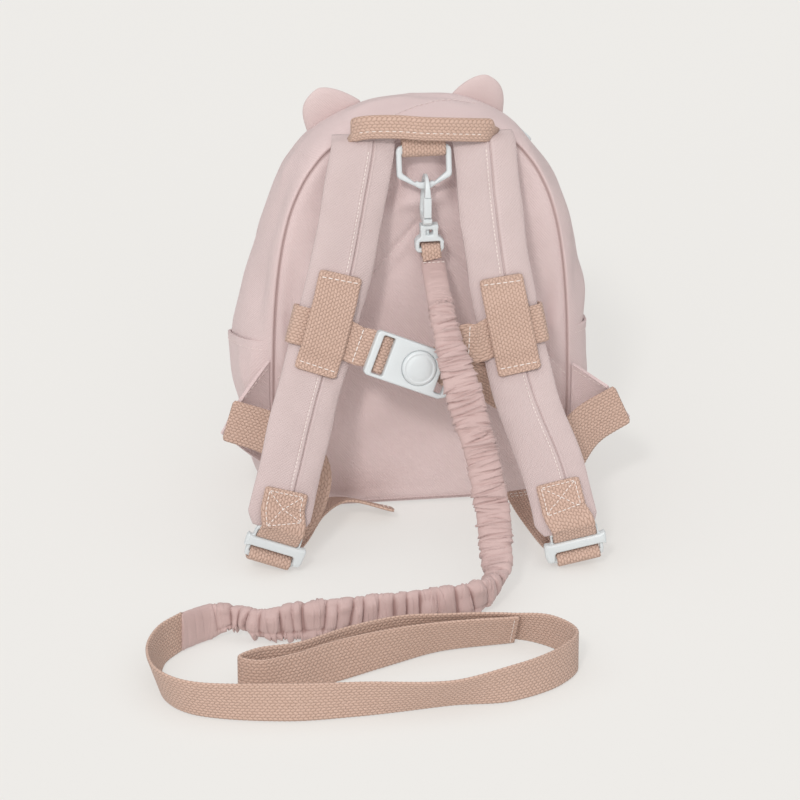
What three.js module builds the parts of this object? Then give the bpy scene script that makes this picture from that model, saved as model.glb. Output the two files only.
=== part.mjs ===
// Kids backpack with a safety rein, standing on its base.
// Millimetres, Z up, the back panel and its straps face -Y, the origin is the middle of the base.
import * as THREE from 'three';

// Cloth, webbing and clearances
const GAP = 0.4;
const CANVAS = 2.0;
const BACK_PAD = 3.6;
const WEBBING = 1.8;
const WEBBING_WIDTH = 25;
const CHEST_WIDTH = 22;
const REIN_WIDTH = 23;
const LOOP_WIDTH = 11;

// Body of the bag
const BACK_Y = -44;
const FRONT_Y = 44;
const FRONT_LEAN = 8;
const CROWN_Z = 204;
const BULGE_POWER = 0.75;
const BACK_BELLY = 2.2;
const FRONT_BELLY = 11;
const PANEL_INSET = 3.3;
const SHOULDER = 0.22;
const SEAM_STEP = 0.0022;
const DEPTH_STEP = 0.005;

// Zip along the crown, drawn open in the middle
const ZIP_ACROSS = 0.73;
const ZIP_OPEN = 0.085;
const ZIP_REACH = 0.17;
const ZIP_TAPE = 0.055;
const ZIP_WALL = 1.2;

// Half outlines of the body from the base seam up to the crown, at the back seam, mid depth and front seam
const OUTLINE = [
  { backX: 66, backZ: 0, midX: 74, midZ: 0, frontX: 68, frontZ: 0 },
  { backX: 80, backZ: 6, midX: 88, midZ: 7, frontX: 81, frontZ: 6 },
  { backX: 86.5, backZ: 29, midX: 95.5, midZ: 29, frontX: 87, frontZ: 28 },
  { backX: 87.6, backZ: 61, midX: 98, midZ: 61, frontX: 88, frontZ: 57 },
  { backX: 87.4, backZ: 94, midX: 99.5, midZ: 93, frontX: 87.5, frontZ: 86 },
  { backX: 86.4, backZ: 121, midX: 102, midZ: 118, frontX: 85.5, frontZ: 110 },
  { backX: 83.8, backZ: 150, midX: 96.5, midZ: 143, frontX: 82, frontZ: 134 },
  { backX: 79.6, backZ: 174, midX: 88.2, midZ: 169, frontX: 77, frontZ: 156 },
  { backX: 74, backZ: 192, midX: 81.2, midZ: 187, frontX: 71, frontZ: 171 },
  { backX: 64.5, backZ: 210, midX: 71.2, midZ: 204, frontX: 61, frontZ: 186 },
  { backX: 51, backZ: 224, midX: 57.2, midZ: 220, frontX: 48, frontZ: 197 },
  { backX: 26, backZ: 230.5, midX: 28, midZ: 235, frontX: 25, frontZ: 202.5 },
  { backX: 0, backZ: 231.5, midX: 0, midZ: 238, frontX: 0, frontZ: CROWN_Z },
];

// Side pockets
const POCKET_WALL = 1.6;
const POCKET_GAPE = 6.4;
const POCKET_HEM = 0.667;
const POCKET_FOOT = 0.93;

// Ears
const EAR_THICK = 8;
const EAR_HEIGHT = 17.5;
const EAR_IN = 0.085;
const EAR_OUT = 0.178;
const EAR_ACROSS = 0.6;
const EAR_SPLAY = 0.55;

// Shoulder straps: route of the middle line from the top seam to the free end
const STRAP_WIDTH = 36;
const STRAP_THICK = 7;
const STRAP_STEPS = 22;
const FINE = 18;
const STRAPS = {
  left: {
    side: -1,
    slope: -0.22,
    route: [
      [-34.2, -51.5, 224.2], [-40.7, -64, 200], [-49.7, -77, 164], [-57.5, -84, 139], [-64, -90, 118.5],
      [-74, -103, 92], [-83, -119, 67.5], [-89, -128, 49.5], [-92.5, -131.5, 37],
    ],
    wing: { top: [-106.5, -60, 76], foot: [-117, -60, 56.6], seamTop: 94, seamFoot: 26 },
    slider: { bar: [-99, -131, 9.8], along: [0.93, 0, -0.36], down: [-0.32, 0.1, -0.92] },
    run: [[-91, -71, 60], [-77, -83, 54], [-71, -95, 44], [-77, -106, 29], [-89, -116, 19]],
    tail: [[-84, -98, 2.2], [-67, -72, 1.5], [-46, -59, 1.4], [-19, -58.5, 1.4]],
    tailAcross: [[0.8, -0.6, 0], [0.55, -0.83, 0], [0.2, -0.98, 0], [-0.1, -1, 0]],
    patch: [0.272, 0.56],
  },
  right: {
    side: 1,
    slope: 0.22,
    route: [
      [35, -51.5, 222], [36.4, -64, 193], [39, -77, 161.7], [42, -84, 139.6], [47, -91, 111.5],
      [52.5, -105, 85], [62.3, -128, 57], [65.5, -141, 42.5], [67.5, -147, 32],
    ],
    wing: { top: [105.5, -60, 72.7], foot: [119.5, -60, 53], seamTop: 82, seamFoot: 22 },
    slider: { bar: [75, -148, 8.2], along: [0.98, 0, 0.19], down: [0.17, 0.1, -0.97] },
    run: [[93, -71, 54], [80, -84, 45], [71, -98, 34], [70, -112, 22], [72, -127, 15]],
    tail: [[71, -118, 1.8], [66, -96, 1.5], [62, -78, 1.4], [59, -60, 1.4]],
    tailAcross: [[0.98, 0.2, 0], [0.98, 0.2, 0], [0.98, 0.2, 0], [0.98, 0.1, 0]],
    patch: [0.298, 0.555],
  },
};

// Sliders at the strap ends
const SLIDER_WIDTH = 33;
const SLIDER_DROP = 21;
const SLIDER_BAR = 3.4;
const SLIDER_THICK = 3.2;
const SLIDER_SLOT = 27;

// Chest buckle, in its own plane: along the strap and up
const BUCKLE_AT = [-9.8, -103, 109.4];
const BUCKLE_ALONG = [0.92, -0.03, -0.38];
const BUCKLE_TILT = 0.22;
const BUCKLE_LEFT = -29.5;
const BUCKLE_RIGHT = 21;
const BUCKLE_HALF = 13.2;
const BUCKLE_THICK = 6;
const SLOT_HALF = 11.4;
const BUTTON_RADIUS = 9.6;
const BUTTON_HOLE = 10.1;
const BUTTON_THICK = 4.4;
const BUTTON_PROUD = 1.5;

// Ring under the handle, in its own plane: top bar middle, and the way it hangs
const RING_TOP = [0, -53, 222];
const RING_DOWN = [0, -0.2425, -0.97];
const RING_BAR = 4.4;
const RING_HALF = 15.8;
const RING_DEEP = 22.8;

// Swivel hook, its jaw in the plane across the ring
const HOOK_X = 0.7;
const HOOK_THICK = 5.2;
const BOW_Y = -58.5;
const BOW_Z = 200;
const BOW_INNER = 4.9;
const BOW_OUTER = 8.4;
const NOSE_Z = 197.2;
const GATE_FOOT = 184.6;
const COLLAR_Z = 180;
const EYE_TOP = 179.4;

// Rein: sleeve on the ring side, then plain webbing that ends in a hand loop
const SLEEVE_ROUTE = [
  { x: 4.3, y: -63, z: 156.2, wide: 14, thick: 5.4, upright: 0 },
  { x: 5.6, y: -83, z: 147.5, wide: 14, thick: 6.5, upright: 0 },
  { x: 7.8, y: -106, z: 132.5, wide: 16, thick: 7, upright: 0 },
  { x: 12.3, y: -127, z: 98.3, wide: 19.5, thick: 7.5, upright: 0 },
  { x: 18.2, y: -144, z: 74.5, wide: 19, thick: 7.5, upright: 0 },
  { x: 23.2, y: -157, z: 49.3, wide: 19, thick: 7.5, upright: 0.05 },
  { x: 26.4, y: -170, z: 27.3, wide: 20, thick: 7.5, upright: 0.15 },
  { x: 26, y: -186, z: 14.5, wide: 21, thick: 8, upright: 0.5 },
  { x: 13, y: -203, z: 11.8, wide: 22, thick: 8, upright: 0.9 },
  { x: -20, y: -212, z: 11.8, wide: 22, thick: 8, upright: 1 },
  { x: -52, y: -216, z: 11.8, wide: 22, thick: 8, upright: 1 },
  { x: -92, y: -220, z: 11.8, wide: 22, thick: 8, upright: 1 },
  { x: -113, y: -221, z: 10.8, wide: 20, thick: 7, upright: 1 },
  { x: -126, y: -212, z: 9.8, wide: 18, thick: 6.5, upright: 1 },
  { x: -141, y: -213, z: 11.3, wide: 21, thick: 7, upright: 1 },
  { x: -159, y: -226, z: 12.2, wide: 22.6, thick: 6, upright: 1 },
];
const SLEEVE_STEPS = 78;
const GATHER = 0.075;
const LEAD_ROUTE = [
  { x: -160.2, y: -226.9, lean: 0 },
  { x: -172, y: -241, lean: 0 },
  { x: -180.5, y: -264, lean: 0 },
  { x: -178, y: -291, lean: 4 },
  { x: -162, y: -308, lean: 2 },
  { x: -112, y: -321, lean: 1 },
  { x: -72, y: -322, lean: 12 },
  { x: -24, y: -319, lean: 30 },
  { x: 12, y: -314, lean: 6 },
  { x: 40, y: -297, lean: 0 },
  { x: 52, y: -278, lean: 0 },
  { x: 43, y: -257, lean: 4 },
  { x: 22, y: -246.5, lean: 12 },
  { x: -17, y: -244, lean: 10 },
  { x: -42, y: -246, lean: 2 },
  { x: -72, y: -257, lean: 0 },
  { x: -100, y: -272, lean: 0 },
  { x: -122, y: -276, lean: 0 },
  { x: -133, y: -284.5, lean: 0 },
  { x: -123, y: -291, lean: 0 },
  { x: -104, y: -287, lean: -10 },
  { x: -80, y: -274.5, lean: -10 },
  { x: -50, y: -262, lean: 4 },
  { x: -17, y: -253.5, lean: 12 },
  { x: 24, y: -250.6, lean: 12 },
];
const LEAD_STEPS = 78;

// Colours
const PINK = '#d9bcb9';
const SLEEVE_PINK = '#cda7a2';
const TAN = '#c39d86';
const WHITE = '#e4e6e5';

const group = new THREE.Group();
group.name = 'kids_backpack';

const vec = (x, y, z) => new THREE.Vector3(x, y, z);
const from = (list) => vec(list[0], list[1], list[2]);
const mix = THREE.MathUtils.lerp;
const rad = THREE.MathUtils.degToRad;

// A named mesh with its own material
function addMesh(name, geometry, color, roughness) {
  const material = new THREE.MeshStandardMaterial({ color, roughness, metalness: 0 });
  const mesh = new THREE.Mesh(geometry, material);
  mesh.name = name;
  group.add(mesh);
}

const cloth = (name, geometry) => addMesh(name, geometry, PINK, 0.9);
const band = (name, geometry) => addMesh(name, geometry, TAN, 0.95);
const plastic = (name, geometry) => addMesh(name, geometry, WHITE, 0.4);

// An indexed geometry whose faces point out
function closedGeometry(points, triangles) {
  let volume = 0;
  for (let k = 0; k < triangles.length; k += 3) {
    const [a, b, c] = [points[triangles[k]], points[triangles[k + 1]], points[triangles[k + 2]]];
    volume += a.dot(b.clone().cross(c));
  }
  if (volume < 0) triangles.reverse();
  const geometry = new THREE.BufferGeometry();
  const numbers = points.flatMap((p) => [p.x, p.y, p.z]);
  geometry.setAttribute('position', new THREE.Float32BufferAttribute(numbers, 3));
  geometry.setIndex(triangles);
  return geometry;
}

// A solid through closed rings of equal length, capped at both ends
function loft(rings) {
  const count = rings[0].length;
  const points = rings.flat();
  const triangles = [];
  for (let r = 0; r + 1 < rings.length; r++) {
    for (let k = 0; k < count; k++) {
      const next = (k + 1) % count;
      const [a, b] = [r * count + k, r * count + next];
      const [c, d] = [a + count, b + count];
      triangles.push(a, b, d, a, d, c);
    }
  }
  const last = (rings.length - 1) * count;
  const cap = (a, b, c) => triangles.push(a, c, b, last + a, last + b, last + c);
  let [low, high] = [0, count - 1];
  while (high - low > 1) {
    cap(low, low + 1, high);
    low += 1;
    if (high - low > 1) cap(low, high - 1, high);
    high -= 1;
  }
  return closedGeometry(points, triangles);
}

// A closed wall between two equal grids of points
function wall(outer, inner) {
  const rows = outer.length;
  const columns = outer[0].length;
  const half = rows * columns;
  const points = [...outer.flat(), ...inner.flat()];
  const at = (i, j, layer) => layer * half + i * columns + j;
  const triangles = [];
  const quad = (a, b, c, d) => triangles.push(a, b, c, a, c, d);
  for (let i = 0; i + 1 < rows; i++) {
    for (let j = 0; j + 1 < columns; j++) {
      quad(at(i, j, 0), at(i + 1, j, 0), at(i + 1, j + 1, 0), at(i, j + 1, 0));
      quad(at(i, j, 1), at(i, j + 1, 1), at(i + 1, j + 1, 1), at(i + 1, j, 1));
    }
    quad(at(i, 0, 0), at(i, 0, 1), at(i + 1, 0, 1), at(i + 1, 0, 0));
    const edge = columns - 1;
    quad(at(i, edge, 0), at(i + 1, edge, 0), at(i + 1, edge, 1), at(i, edge, 1));
  }
  for (let j = 0; j + 1 < columns; j++) {
    quad(at(0, j, 0), at(0, j + 1, 0), at(0, j + 1, 1), at(0, j, 1));
    quad(at(rows - 1, j, 0), at(rows - 1, j, 1), at(rows - 1, j + 1, 1), at(rows - 1, j + 1, 0));
  }
  return closedGeometry(points, triangles);
}

// Frames along a smooth route: place, way along, way across and facing
function framesAlong(route, across, steps) {
  const curve = new THREE.CatmullRomCurve3(route, false, 'centripetal');
  const knots = new THREE.CatmullRomCurve3(across, false, 'centripetal');
  const frames = [];
  for (let k = 0; k <= steps; k++) {
    const place = curve.getPoint(k / steps);
    const along = curve.getTangent(k / steps);
    const side = knots.getPoint(k / steps);
    side.addScaledVector(along, -side.dot(along)).normalize();
    frames.push({ place, along, side, facing: along.clone().cross(side) });
  }
  return frames;
}

function offsetPoint(frame, a, n) {
  return frame.place.clone().addScaledVector(frame.side, a).addScaledVector(frame.facing, n);
}

// Flat webbing along frames
function ribbon(frames, width, thick) {
  const [w, t] = [width / 2, thick / 2];
  return loft(frames.map((f) => [
    offsetPoint(f, -w, -t), offsetPoint(f, w, -t), offsetPoint(f, w, t), offsetPoint(f, -w, t),
  ]));
}

// A plate cut from a flat shape and set in a plane given by its middle and two ways
function plate(shape, thick, middle, right, up, bevel) {
  const geometry = new THREE.ExtrudeGeometry(shape, {
    depth: thick - 2 * bevel,
    bevelEnabled: bevel > 0,
    bevelThickness: bevel,
    bevelSize: bevel,
    bevelOffset: -bevel,
    bevelSegments: 1,
    curveSegments: 3,
  });
  geometry.translate(0, 0, bevel - thick / 2);
  const out = right.clone().cross(up);
  const frame = new THREE.Matrix4().makeBasis(right, up, out).setPosition(middle);
  geometry.applyMatrix4(frame);
  return geometry;
}

function roundedBox(shape, x0, y0, x1, y1, r) {
  shape.moveTo(x0 + r, y0);
  shape.lineTo(x1 - r, y0);
  shape.quadraticCurveTo(x1, y0, x1, y0 + r);
  shape.lineTo(x1, y1 - r);
  shape.quadraticCurveTo(x1, y1, x1 - r, y1);
  shape.lineTo(x0 + r, y1);
  shape.quadraticCurveTo(x0, y1, x0, y1 - r);
  shape.lineTo(x0, y0 + r);
  shape.quadraticCurveTo(x0, y0, x0 + r, y0);
  return shape;
}

const circlePoints = (radius) => Array.from({ length: 20 }, (_, k) => {
  const turn = (2 * Math.PI * k) / 20;
  return new THREE.Vector2(radius * Math.cos(turn), radius * Math.sin(turn));
});

// Body surface: around runs from the left base seam (-1) over the crown (0) to the right (1)
function outlineCurve(x, z) {
  const knots = OUTLINE.map((row) => vec(row[x], 0, row[z]));
  return new THREE.CatmullRomCurve3(knots, false, 'centripetal');
}
const backCurve = outlineCurve('backX', 'backZ');
const midCurve = outlineCurve('midX', 'midZ');
const frontCurve = outlineCurve('frontX', 'frontZ');
const BELLY_MIDDLE = vec(0, 0, 105);

function bodyPoint(around, across) {
  const along = 1 - Math.min(1, Math.abs(around));
  const back = backCurve.getPoint(along);
  const mid = midCurve.getPoint(along);
  const front = frontCurve.getPoint(along);
  const middle = back.clone().add(front).multiplyScalar(0.5);
  const bulge = Math.max(0, Math.sin(Math.PI * across)) ** BULGE_POWER;
  const point = back.clone().lerp(front, across).addScaledVector(mid.sub(middle), bulge);
  const frontEdge = FRONT_Y - FRONT_LEAN * (front.z / CROWN_Z) ** 2;
  point.y = mix(BACK_Y, frontEdge, across);
  point.x *= around < 0 ? -1 : 1;
  return point;
}

function bodyNormal(around, across) {
  const d = 0.004;
  const t = THREE.MathUtils.clamp(across, 0.02, 0.98);
  const a = THREE.MathUtils.clamp(around, -1 + d, 1 - d);
  const alongWay = bodyPoint(a + d, t).sub(bodyPoint(a - d, t));
  const acrossWay = bodyPoint(a, t + d).sub(bodyPoint(a, t - d));
  const normal = alongWay.cross(acrossWay).normalize();
  const out = bodyPoint(a, t).sub(BELLY_MIDDLE);
  return normal.dot(out) < 0 ? normal.negate() : normal;
}

// A piece of the body wall between two places around and two depths
function bodyPatch({ start, end, near, far, rows, columns, thick, lift = () => 0 }) {
  const outer = [];
  const inner = [];
  for (let i = 0; i <= rows; i++) {
    const around = mix(start, end, i / rows);
    const outerRow = [];
    const innerRow = [];
    for (let j = 0; j <= columns; j++) {
      const across = mix(near(around), far(around), j / columns);
      const normal = bodyNormal(around, across);
      const place = bodyPoint(around, across);
      const raise = lift(i / rows, j / columns);
      outerRow.push(place.clone().addScaledVector(normal, raise));
      innerRow.push(place.clone().addScaledVector(normal, raise - thick));
    }
    outer.push(outerRow);
    inner.push(innerRow);
  }
  return wall(outer, inner);
}

const always = (value) => () => value;

// Side gussets from the base seam to the shoulders
for (const [name, side] of [['left', -1], ['right', 1]]) {
  cloth(`side_gusset_${name}`, bodyPatch({
    start: side, end: side * (SHOULDER + SEAM_STEP), near: always(0), far: always(1),
    rows: 12, columns: 7, thick: CANVAS,
  }));
}

// Crown in two strips with the zip between them
const zipGape = (around) => {
  const reach = Math.min(1, Math.abs(around) / ZIP_REACH);
  return 0.003 + ZIP_OPEN * Math.cos((Math.PI / 2) * reach) ** 1.2;
};
const mouthNear = (around) => ZIP_ACROSS - zipGape(around);
const mouthFar = (around) => ZIP_ACROSS + zipGape(around);
const crownStart = -(SHOULDER - SEAM_STEP);
const crownSpan = { start: crownStart, end: -crownStart, rows: 16 };
cloth('crown_back', bodyPatch({
  ...crownSpan, near: always(0), far: (a) => mouthNear(a) - ZIP_TAPE - DEPTH_STEP, columns: 6, thick: CANVAS,
}));
cloth('crown_front', bodyPatch({
  ...crownSpan, near: (a) => mouthFar(a) + ZIP_TAPE + DEPTH_STEP, far: always(1), columns: 3, thick: CANVAS,
}));
cloth('zip_tape_back', bodyPatch({
  ...crownSpan, near: (a) => mouthNear(a) - ZIP_TAPE, far: mouthNear, columns: 1, thick: ZIP_WALL,
}));
cloth('zip_tape_front', bodyPatch({
  ...crownSpan, near: mouthFar, far: (a) => mouthFar(a) + ZIP_TAPE, columns: 1, thick: ZIP_WALL,
}));

// Zip slider with its pull, parked at the right end of the mouth
{
  const around = SHOULDER - 0.03;
  const seat = bodyPoint(around, ZIP_ACROSS);
  const out = bodyNormal(around, ZIP_ACROSS);
  const right = bodyPoint(around + 0.01, ZIP_ACROSS).sub(seat).normalize();
  const up = out.clone().cross(right).normalize();
  const pull = roundedBox(new THREE.Shape(), -6, -4.5, 16, 4.5, 3);
  plastic('zip_slider', plate(pull, 2, seat.clone().addScaledVector(out, 1 + GAP), right, up, 0.4));
}

// Base
{
  const outer = [];
  const inner = [];
  for (let i = 0; i <= 8; i++) {
    const across = i / 8;
    const edge = bodyPoint(1, across);
    const reach = edge.x - CANVAS;
    const row = [-1, -0.5, 0, 0.5, 1];
    outer.push(row.map((k) => vec(k * reach, edge.y, 0)));
    inner.push(row.map((k) => vec(k * reach, edge.y, CANVAS)));
  }
  cloth('base_panel', wall(outer, inner));
}

// Back and front panels, each a pad with a soft belly set inside the gusset's edge
function panel(across, rimY, thick, belly) {
  const count = 32;
  const foot = bodyPoint(1, across).x - PANEL_INSET;
  const rim = [];
  for (let k = 0; k < count; k++) {
    const lower = count / 4;
    let place;
    if (k < lower) {
      place = vec(mix(-foot, foot, k / lower), 0, PANEL_INSET);
    } else {
      const around = mix(1, -1, (k - lower) / (count - lower));
      place = bodyPoint(around, across);
      place.addScaledVector(bodyNormal(around, across).setY(0).normalize(), -PANEL_INSET);
      place.z = Math.max(PANEL_INSET, place.z);
    }
    rim.push(vec(place.x, 0, place.z));
  }
  const middle = vec(0, 0, 100);
  const scale = [1, 0.86, 0.55, 0.2];
  const face = (s, shift) => rim.map((p) => {
    const q = middle.clone().lerp(p, s);
    const depth = shift + belly * (1 - s * s);
    return vec(q.x, rimY(p) + depth, q.z);
  });
  const rings = [];
  for (const s of [...scale].reverse()) rings.push(face(s, 0));
  for (const s of scale) rings.push(face(s, -Math.sign(belly) * thick));
  return loft(rings);
}
const frontRim = (p) => FRONT_Y - FRONT_LEAN * Math.min(1, p.z / CROWN_Z) ** 2 + 1;
cloth('back_panel', panel(0, always(BACK_Y - 1.2), BACK_PAD, -BACK_BELLY));
cloth('front_panel', panel(1, frontRim, CANVAS, FRONT_BELLY));

// Open side pockets, tight at the foot and edges and gaping at the hem
for (const [name, side] of [['left', -1], ['right', 1]]) {
  cloth(`pocket_${name}`, bodyPatch({
    start: side * POCKET_FOOT, end: side * POCKET_HEM, near: always(0.07), far: always(0.93),
    rows: 6, columns: 8, thick: POCKET_WALL,
    lift: (up, over) => 2 * GAP + POCKET_WALL + POCKET_GAPE * up ** 0.8 * Math.sin(Math.PI * over) ** 0.6,
  }));
}

// Ears, padded lobes sewn into the crown
for (const [name, side] of [['left', -1], ['right', 1]]) {
  const middle = side * (EAR_IN + EAR_OUT) / 2;
  const lean = bodyNormal(middle, 0.5).setY(0).normalize();
  lean.x *= EAR_SPLAY;
  lean.normalize();
  const rings = [];
  const rows = 6;
  for (let i = 0; i <= rows; i++) {
    const rise = i / rows;
    const narrow = Math.sqrt(Math.max(0.06, 1 - rise ** 2.4));
    const ring = [];
    for (let k = 0; k < 16; k++) {
      const turn = (2 * Math.PI * k) / 16;
      const over = Math.cos(turn) * narrow;
      const around = middle + side * over * (EAR_OUT - EAR_IN) / 2;
      const thick = (EAR_THICK / 2) * Math.sin(turn) * Math.sqrt(Math.max(0.1, 1 - rise ** 3));
      const across = EAR_ACROSS + thick / (FRONT_Y - BACK_Y);
      const foot = bodyPoint(around, across);
      foot.addScaledVector(bodyNormal(around, across), 1);
      foot.addScaledVector(lean, rise * EAR_HEIGHT * (0.78 + 0.22 * (1 - over * over)));
      ring.push(foot);
    }
    rings.push(ring);
  }
  cloth(`ear_${name}`, loft(rings));
}

// Everything on one shoulder strap
for (const [name, spec] of Object.entries(STRAPS)) {
  const route = spec.route.map(from);
  const slopes = route.map((p, k) => vec(1, 0, spec.slope * Math.min(1, k / 3)));
  const fine = framesAlong(route, slopes, STRAP_STEPS * FINE);
  for (const f of fine) {
    if (f.facing.y > 0) f.facing.negate();
  }
  const frames = fine.filter((f, k) => k % FINE === 0);
  const at = (share) => fine[Math.round(share * STRAP_STEPS * FINE)];

  // Padded strap, rounded across and drawn in at the free end
  const strapRings = frames.map((f, k) => {
    const left = STRAP_STEPS - k;
    const taper = left > 1 ? 1 : 0.7 - 0.3 * (1 - left);
    const plump = left > 2 ? 1 : 0.85 - 0.2 * (2 - left);
    const ring = [];
    for (let c = 0; c < 10; c++) {
      const turn = (2 * Math.PI * c) / 10;
      const a = Math.sign(Math.cos(turn)) * Math.abs(Math.cos(turn)) ** 0.6;
      const n = Math.sign(Math.sin(turn)) * Math.abs(Math.sin(turn)) ** 0.8;
      ring.push(offsetPoint(f, (a * STRAP_WIDTH * taper) / 2, (n * STRAP_THICK * plump) / 2));
    }
    return ring;
  });
  cloth(`shoulder_strap_${name}`, loft(strapRings));

  const skin = STRAP_THICK / 2 + GAP + WEBBING / 2;

  // Patch sewn over the chest webbing
  const patchFrames = [];
  for (let k = 0; k <= 12; k++) {
    const f = at(mix(spec.patch[0], spec.patch[1], k / 12));
    const rise = THREE.MathUtils.smoothstep(Math.sin((Math.PI * k) / 12), 0.35, 0.8);
    patchFrames.push({ ...f, place: offsetPoint(f, 0, skin + rise * (WEBBING + 2 * GAP)) });
  }
  band(`chest_patch_${name}`, ribbon(patchFrames, WEBBING_WIDTH, WEBBING));

  // Chest webbing: round the strap, then on behind the buckle
  const ring = at((spec.patch[0] + spec.patch[1]) / 2);
  const inward = -spec.side;
  const reach = STRAP_WIDTH / 2 + GAP + WEBBING / 2 + 1;
  const round = [
    offsetPoint(ring, inward * (reach - 1), -skin - 0.4),
    offsetPoint(ring, inward * reach * 0.5, -skin),
    offsetPoint(ring, 0, -skin),
    offsetPoint(ring, -inward * reach * 0.6, -skin),
    offsetPoint(ring, -inward * (reach + 1), -skin * 0.75),
    offsetPoint(ring, -inward * (reach + 3), 0),
    offsetPoint(ring, -inward * (reach + 1), skin * 0.75),
    offsetPoint(ring, -inward * reach * 0.6, skin),
    offsetPoint(ring, 0, skin),
    offsetPoint(ring, inward * reach * 0.5, skin),
    offsetPoint(ring, inward * (reach - 1), skin + 1.2),
  ];
  const way = ring.along.clone().negate();
  const up = round.map(() => way.clone());
  const lead = name === 'left'
    ? [vec(-37, -95.2, 119.6), vec(-27, -96, 115.5)]
    : [vec(17, -94.6, 117), vec(8, -95.6, 107.5), vec(4, -95.9, 103)];
  const leadUp = name === 'left'
    ? [vec(0.34, 0.2, 0.92), vec(0.36, 0.2, 0.91)]
    : [vec(0.1, 0.2, 0.96), vec(0.3, 0.2, 0.92), vec(0.34, 0.2, 0.91)];
  const chestFrames = framesAlong([...round, ...lead], [...up, ...leadUp], 34);
  band(`chest_webbing_${name}`, ribbon(chestFrames, CHEST_WIDTH, WEBBING - 0.4));

  // Wing sewn into the back seam
  const seamAt = (z) => {
    for (let a = 1; a > 0.2; a -= 0.002) {
      const p = bodyPoint(spec.side * a, 0);
      if (p.z >= z) return p;
    }
    return bodyPoint(spec.side * 0.2, 0);
  };
  const tipTop = from(spec.wing.top);
  const tipFoot = from(spec.wing.foot);
  const outer = [];
  const inner = [];
  for (let i = 0; i <= 6; i++) {
    const root = seamAt(mix(spec.wing.seamTop, spec.wing.seamFoot, i / 6));
    root.x += spec.side * 0.6;
    root.y = BACK_Y - GAP - CANVAS / 2 - 0.6;
    const tip = tipTop.clone().lerp(tipFoot, i / 6);
    const outerRow = [];
    const innerRow = [];
    for (let j = 0; j <= 3; j++) {
      const p = root.clone().lerp(tip, j / 3);
      outerRow.push(p.clone().add(vec(0, -CANVAS / 2, 0)));
      innerRow.push(p.clone().add(vec(0, CANVAS / 2, 0)));
    }
    outer.push(outerRow);
    inner.push(innerRow);
  }
  cloth(`wing_${name}`, wall(outer, inner));

  // Slider in its own plane
  const along = from(spec.slider.along).normalize();
  const downHint = from(spec.slider.down);
  const down = downHint.addScaledVector(along, -downHint.dot(along)).normalize();
  const facing = down.clone().cross(along);
  if (facing.y > 0) facing.negate();
  const bar = from(spec.slider.bar);
  const local = (d, n) => bar.clone().addScaledVector(down, d).addScaledVector(facing, n);
  const drop = SLIDER_DROP - SLIDER_BAR;
  const [wide, slot, high] = [SLIDER_WIDTH / 2, SLIDER_SLOT / 2, (drop - 2 * SLIDER_BAR) / 2];
  const sliderShape = roundedBox(new THREE.Shape(), -wide, -SLIDER_BAR / 2, wide, drop + SLIDER_BAR / 2, 2.5);
  for (const foot of [SLIDER_BAR / 2, SLIDER_BAR * 1.5 + high]) {
    sliderShape.holes.push(roundedBox(new THREE.Path(), -slot, foot, slot, foot + high, 0.8));
  }
  const upWay = down.clone().negate();
  plastic(`strap_slider_${name}`, plate(sliderShape, SLIDER_THICK, bar, along, upWay, 0.6));

  // Strap end webbing: on the strap's face, through the upper slot and up behind its bar
  const top = -drop;
  const clear = SLIDER_THICK / 2 + GAP + WEBBING / 2;
  const wrap = SLIDER_BAR / 2 + GAP + WEBBING / 2;
  const endFrames = [0.885, 0.925, 0.965].map(at);
  const endRoute = [
    ...endFrames.map((f) => offsetPoint(f, 0, skin + 0.3)),
    local(top - 5, clear + 2.4),
    local(top - 1.5, clear + 0.5),
    local(top + wrap * 0.75, clear * 0.75),
    local(top + wrap + 0.1, 0),
    local(top + wrap * 0.75, -clear * 0.75),
    local(top - 1.5, -clear - 0.4),
    local(top - 5.5, -clear - 0.8),
  ];
  const endAcross = endRoute.map((p, k) => (k < 3 ? endFrames[k].side.clone() : along.clone()));
  band(`strap_end_${name}`, ribbon(framesAlong(endRoute, endAcross, 24), WEBBING_WIDTH, WEBBING));

  // Adjuster webbing: folded over the wing, forward to the slider, round its lower bar and off as a tail
  const tipWay = tipFoot.clone().sub(tipTop).normalize();
  const fold = CANVAS / 2 + GAP + WEBBING / 2;
  const tipMiddle = tipTop.clone().lerp(tipFoot, 0.5);
  const start = tipMiddle.clone().add(vec(spec.side * 0.5, -fold - 0.5, 0));
  const runRoute = [
    start,
    ...spec.run.map(from),
    local(-wrap - 0.9, -clear - 3),
    local(-wrap - 0.3, 0),
    local(-wrap * 0.7, clear * 0.8),
    local(0, clear + 0.4),
    local(wrap * 0.75, clear * 0.7),
    local(wrap, 0),
    local(wrap - 0.4, -clear - 2.5),
    ...spec.tail.map(from),
  ];
  const flip = along.dot(tipWay) < 0 ? -1 : 1;
  const runAcross = [
    tipWay.clone().multiplyScalar(flip),
    ...spec.run.map((p, k) => tipWay.clone().multiplyScalar(flip).lerp(along, (k + 1) / 6)),
    ...Array.from({ length: 7 }, () => along.clone()),
    ...spec.tailAcross.map(from),
  ];
  band(`adjuster_${name}`, ribbon(framesAlong(runRoute, runAcross, 58), WEBBING_WIDTH, WEBBING - 0.2));
}

// Slack end of the chest webbing, hanging behind the right strap
{
  const route = [vec(13, -91.5, 95.5), vec(24, -88, 95), vec(35, -83, 91), vec(48, -80, 84)];
  const up = [vec(0.4, 0, 0.9), vec(0.3, 0, 0.95), vec(0.4, 0, 0.9), vec(0.45, 0, 0.9)];
  band('chest_tail', ribbon(framesAlong(route, up, 10), CHEST_WIDTH - 1, WEBBING - 0.4));
}

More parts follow.
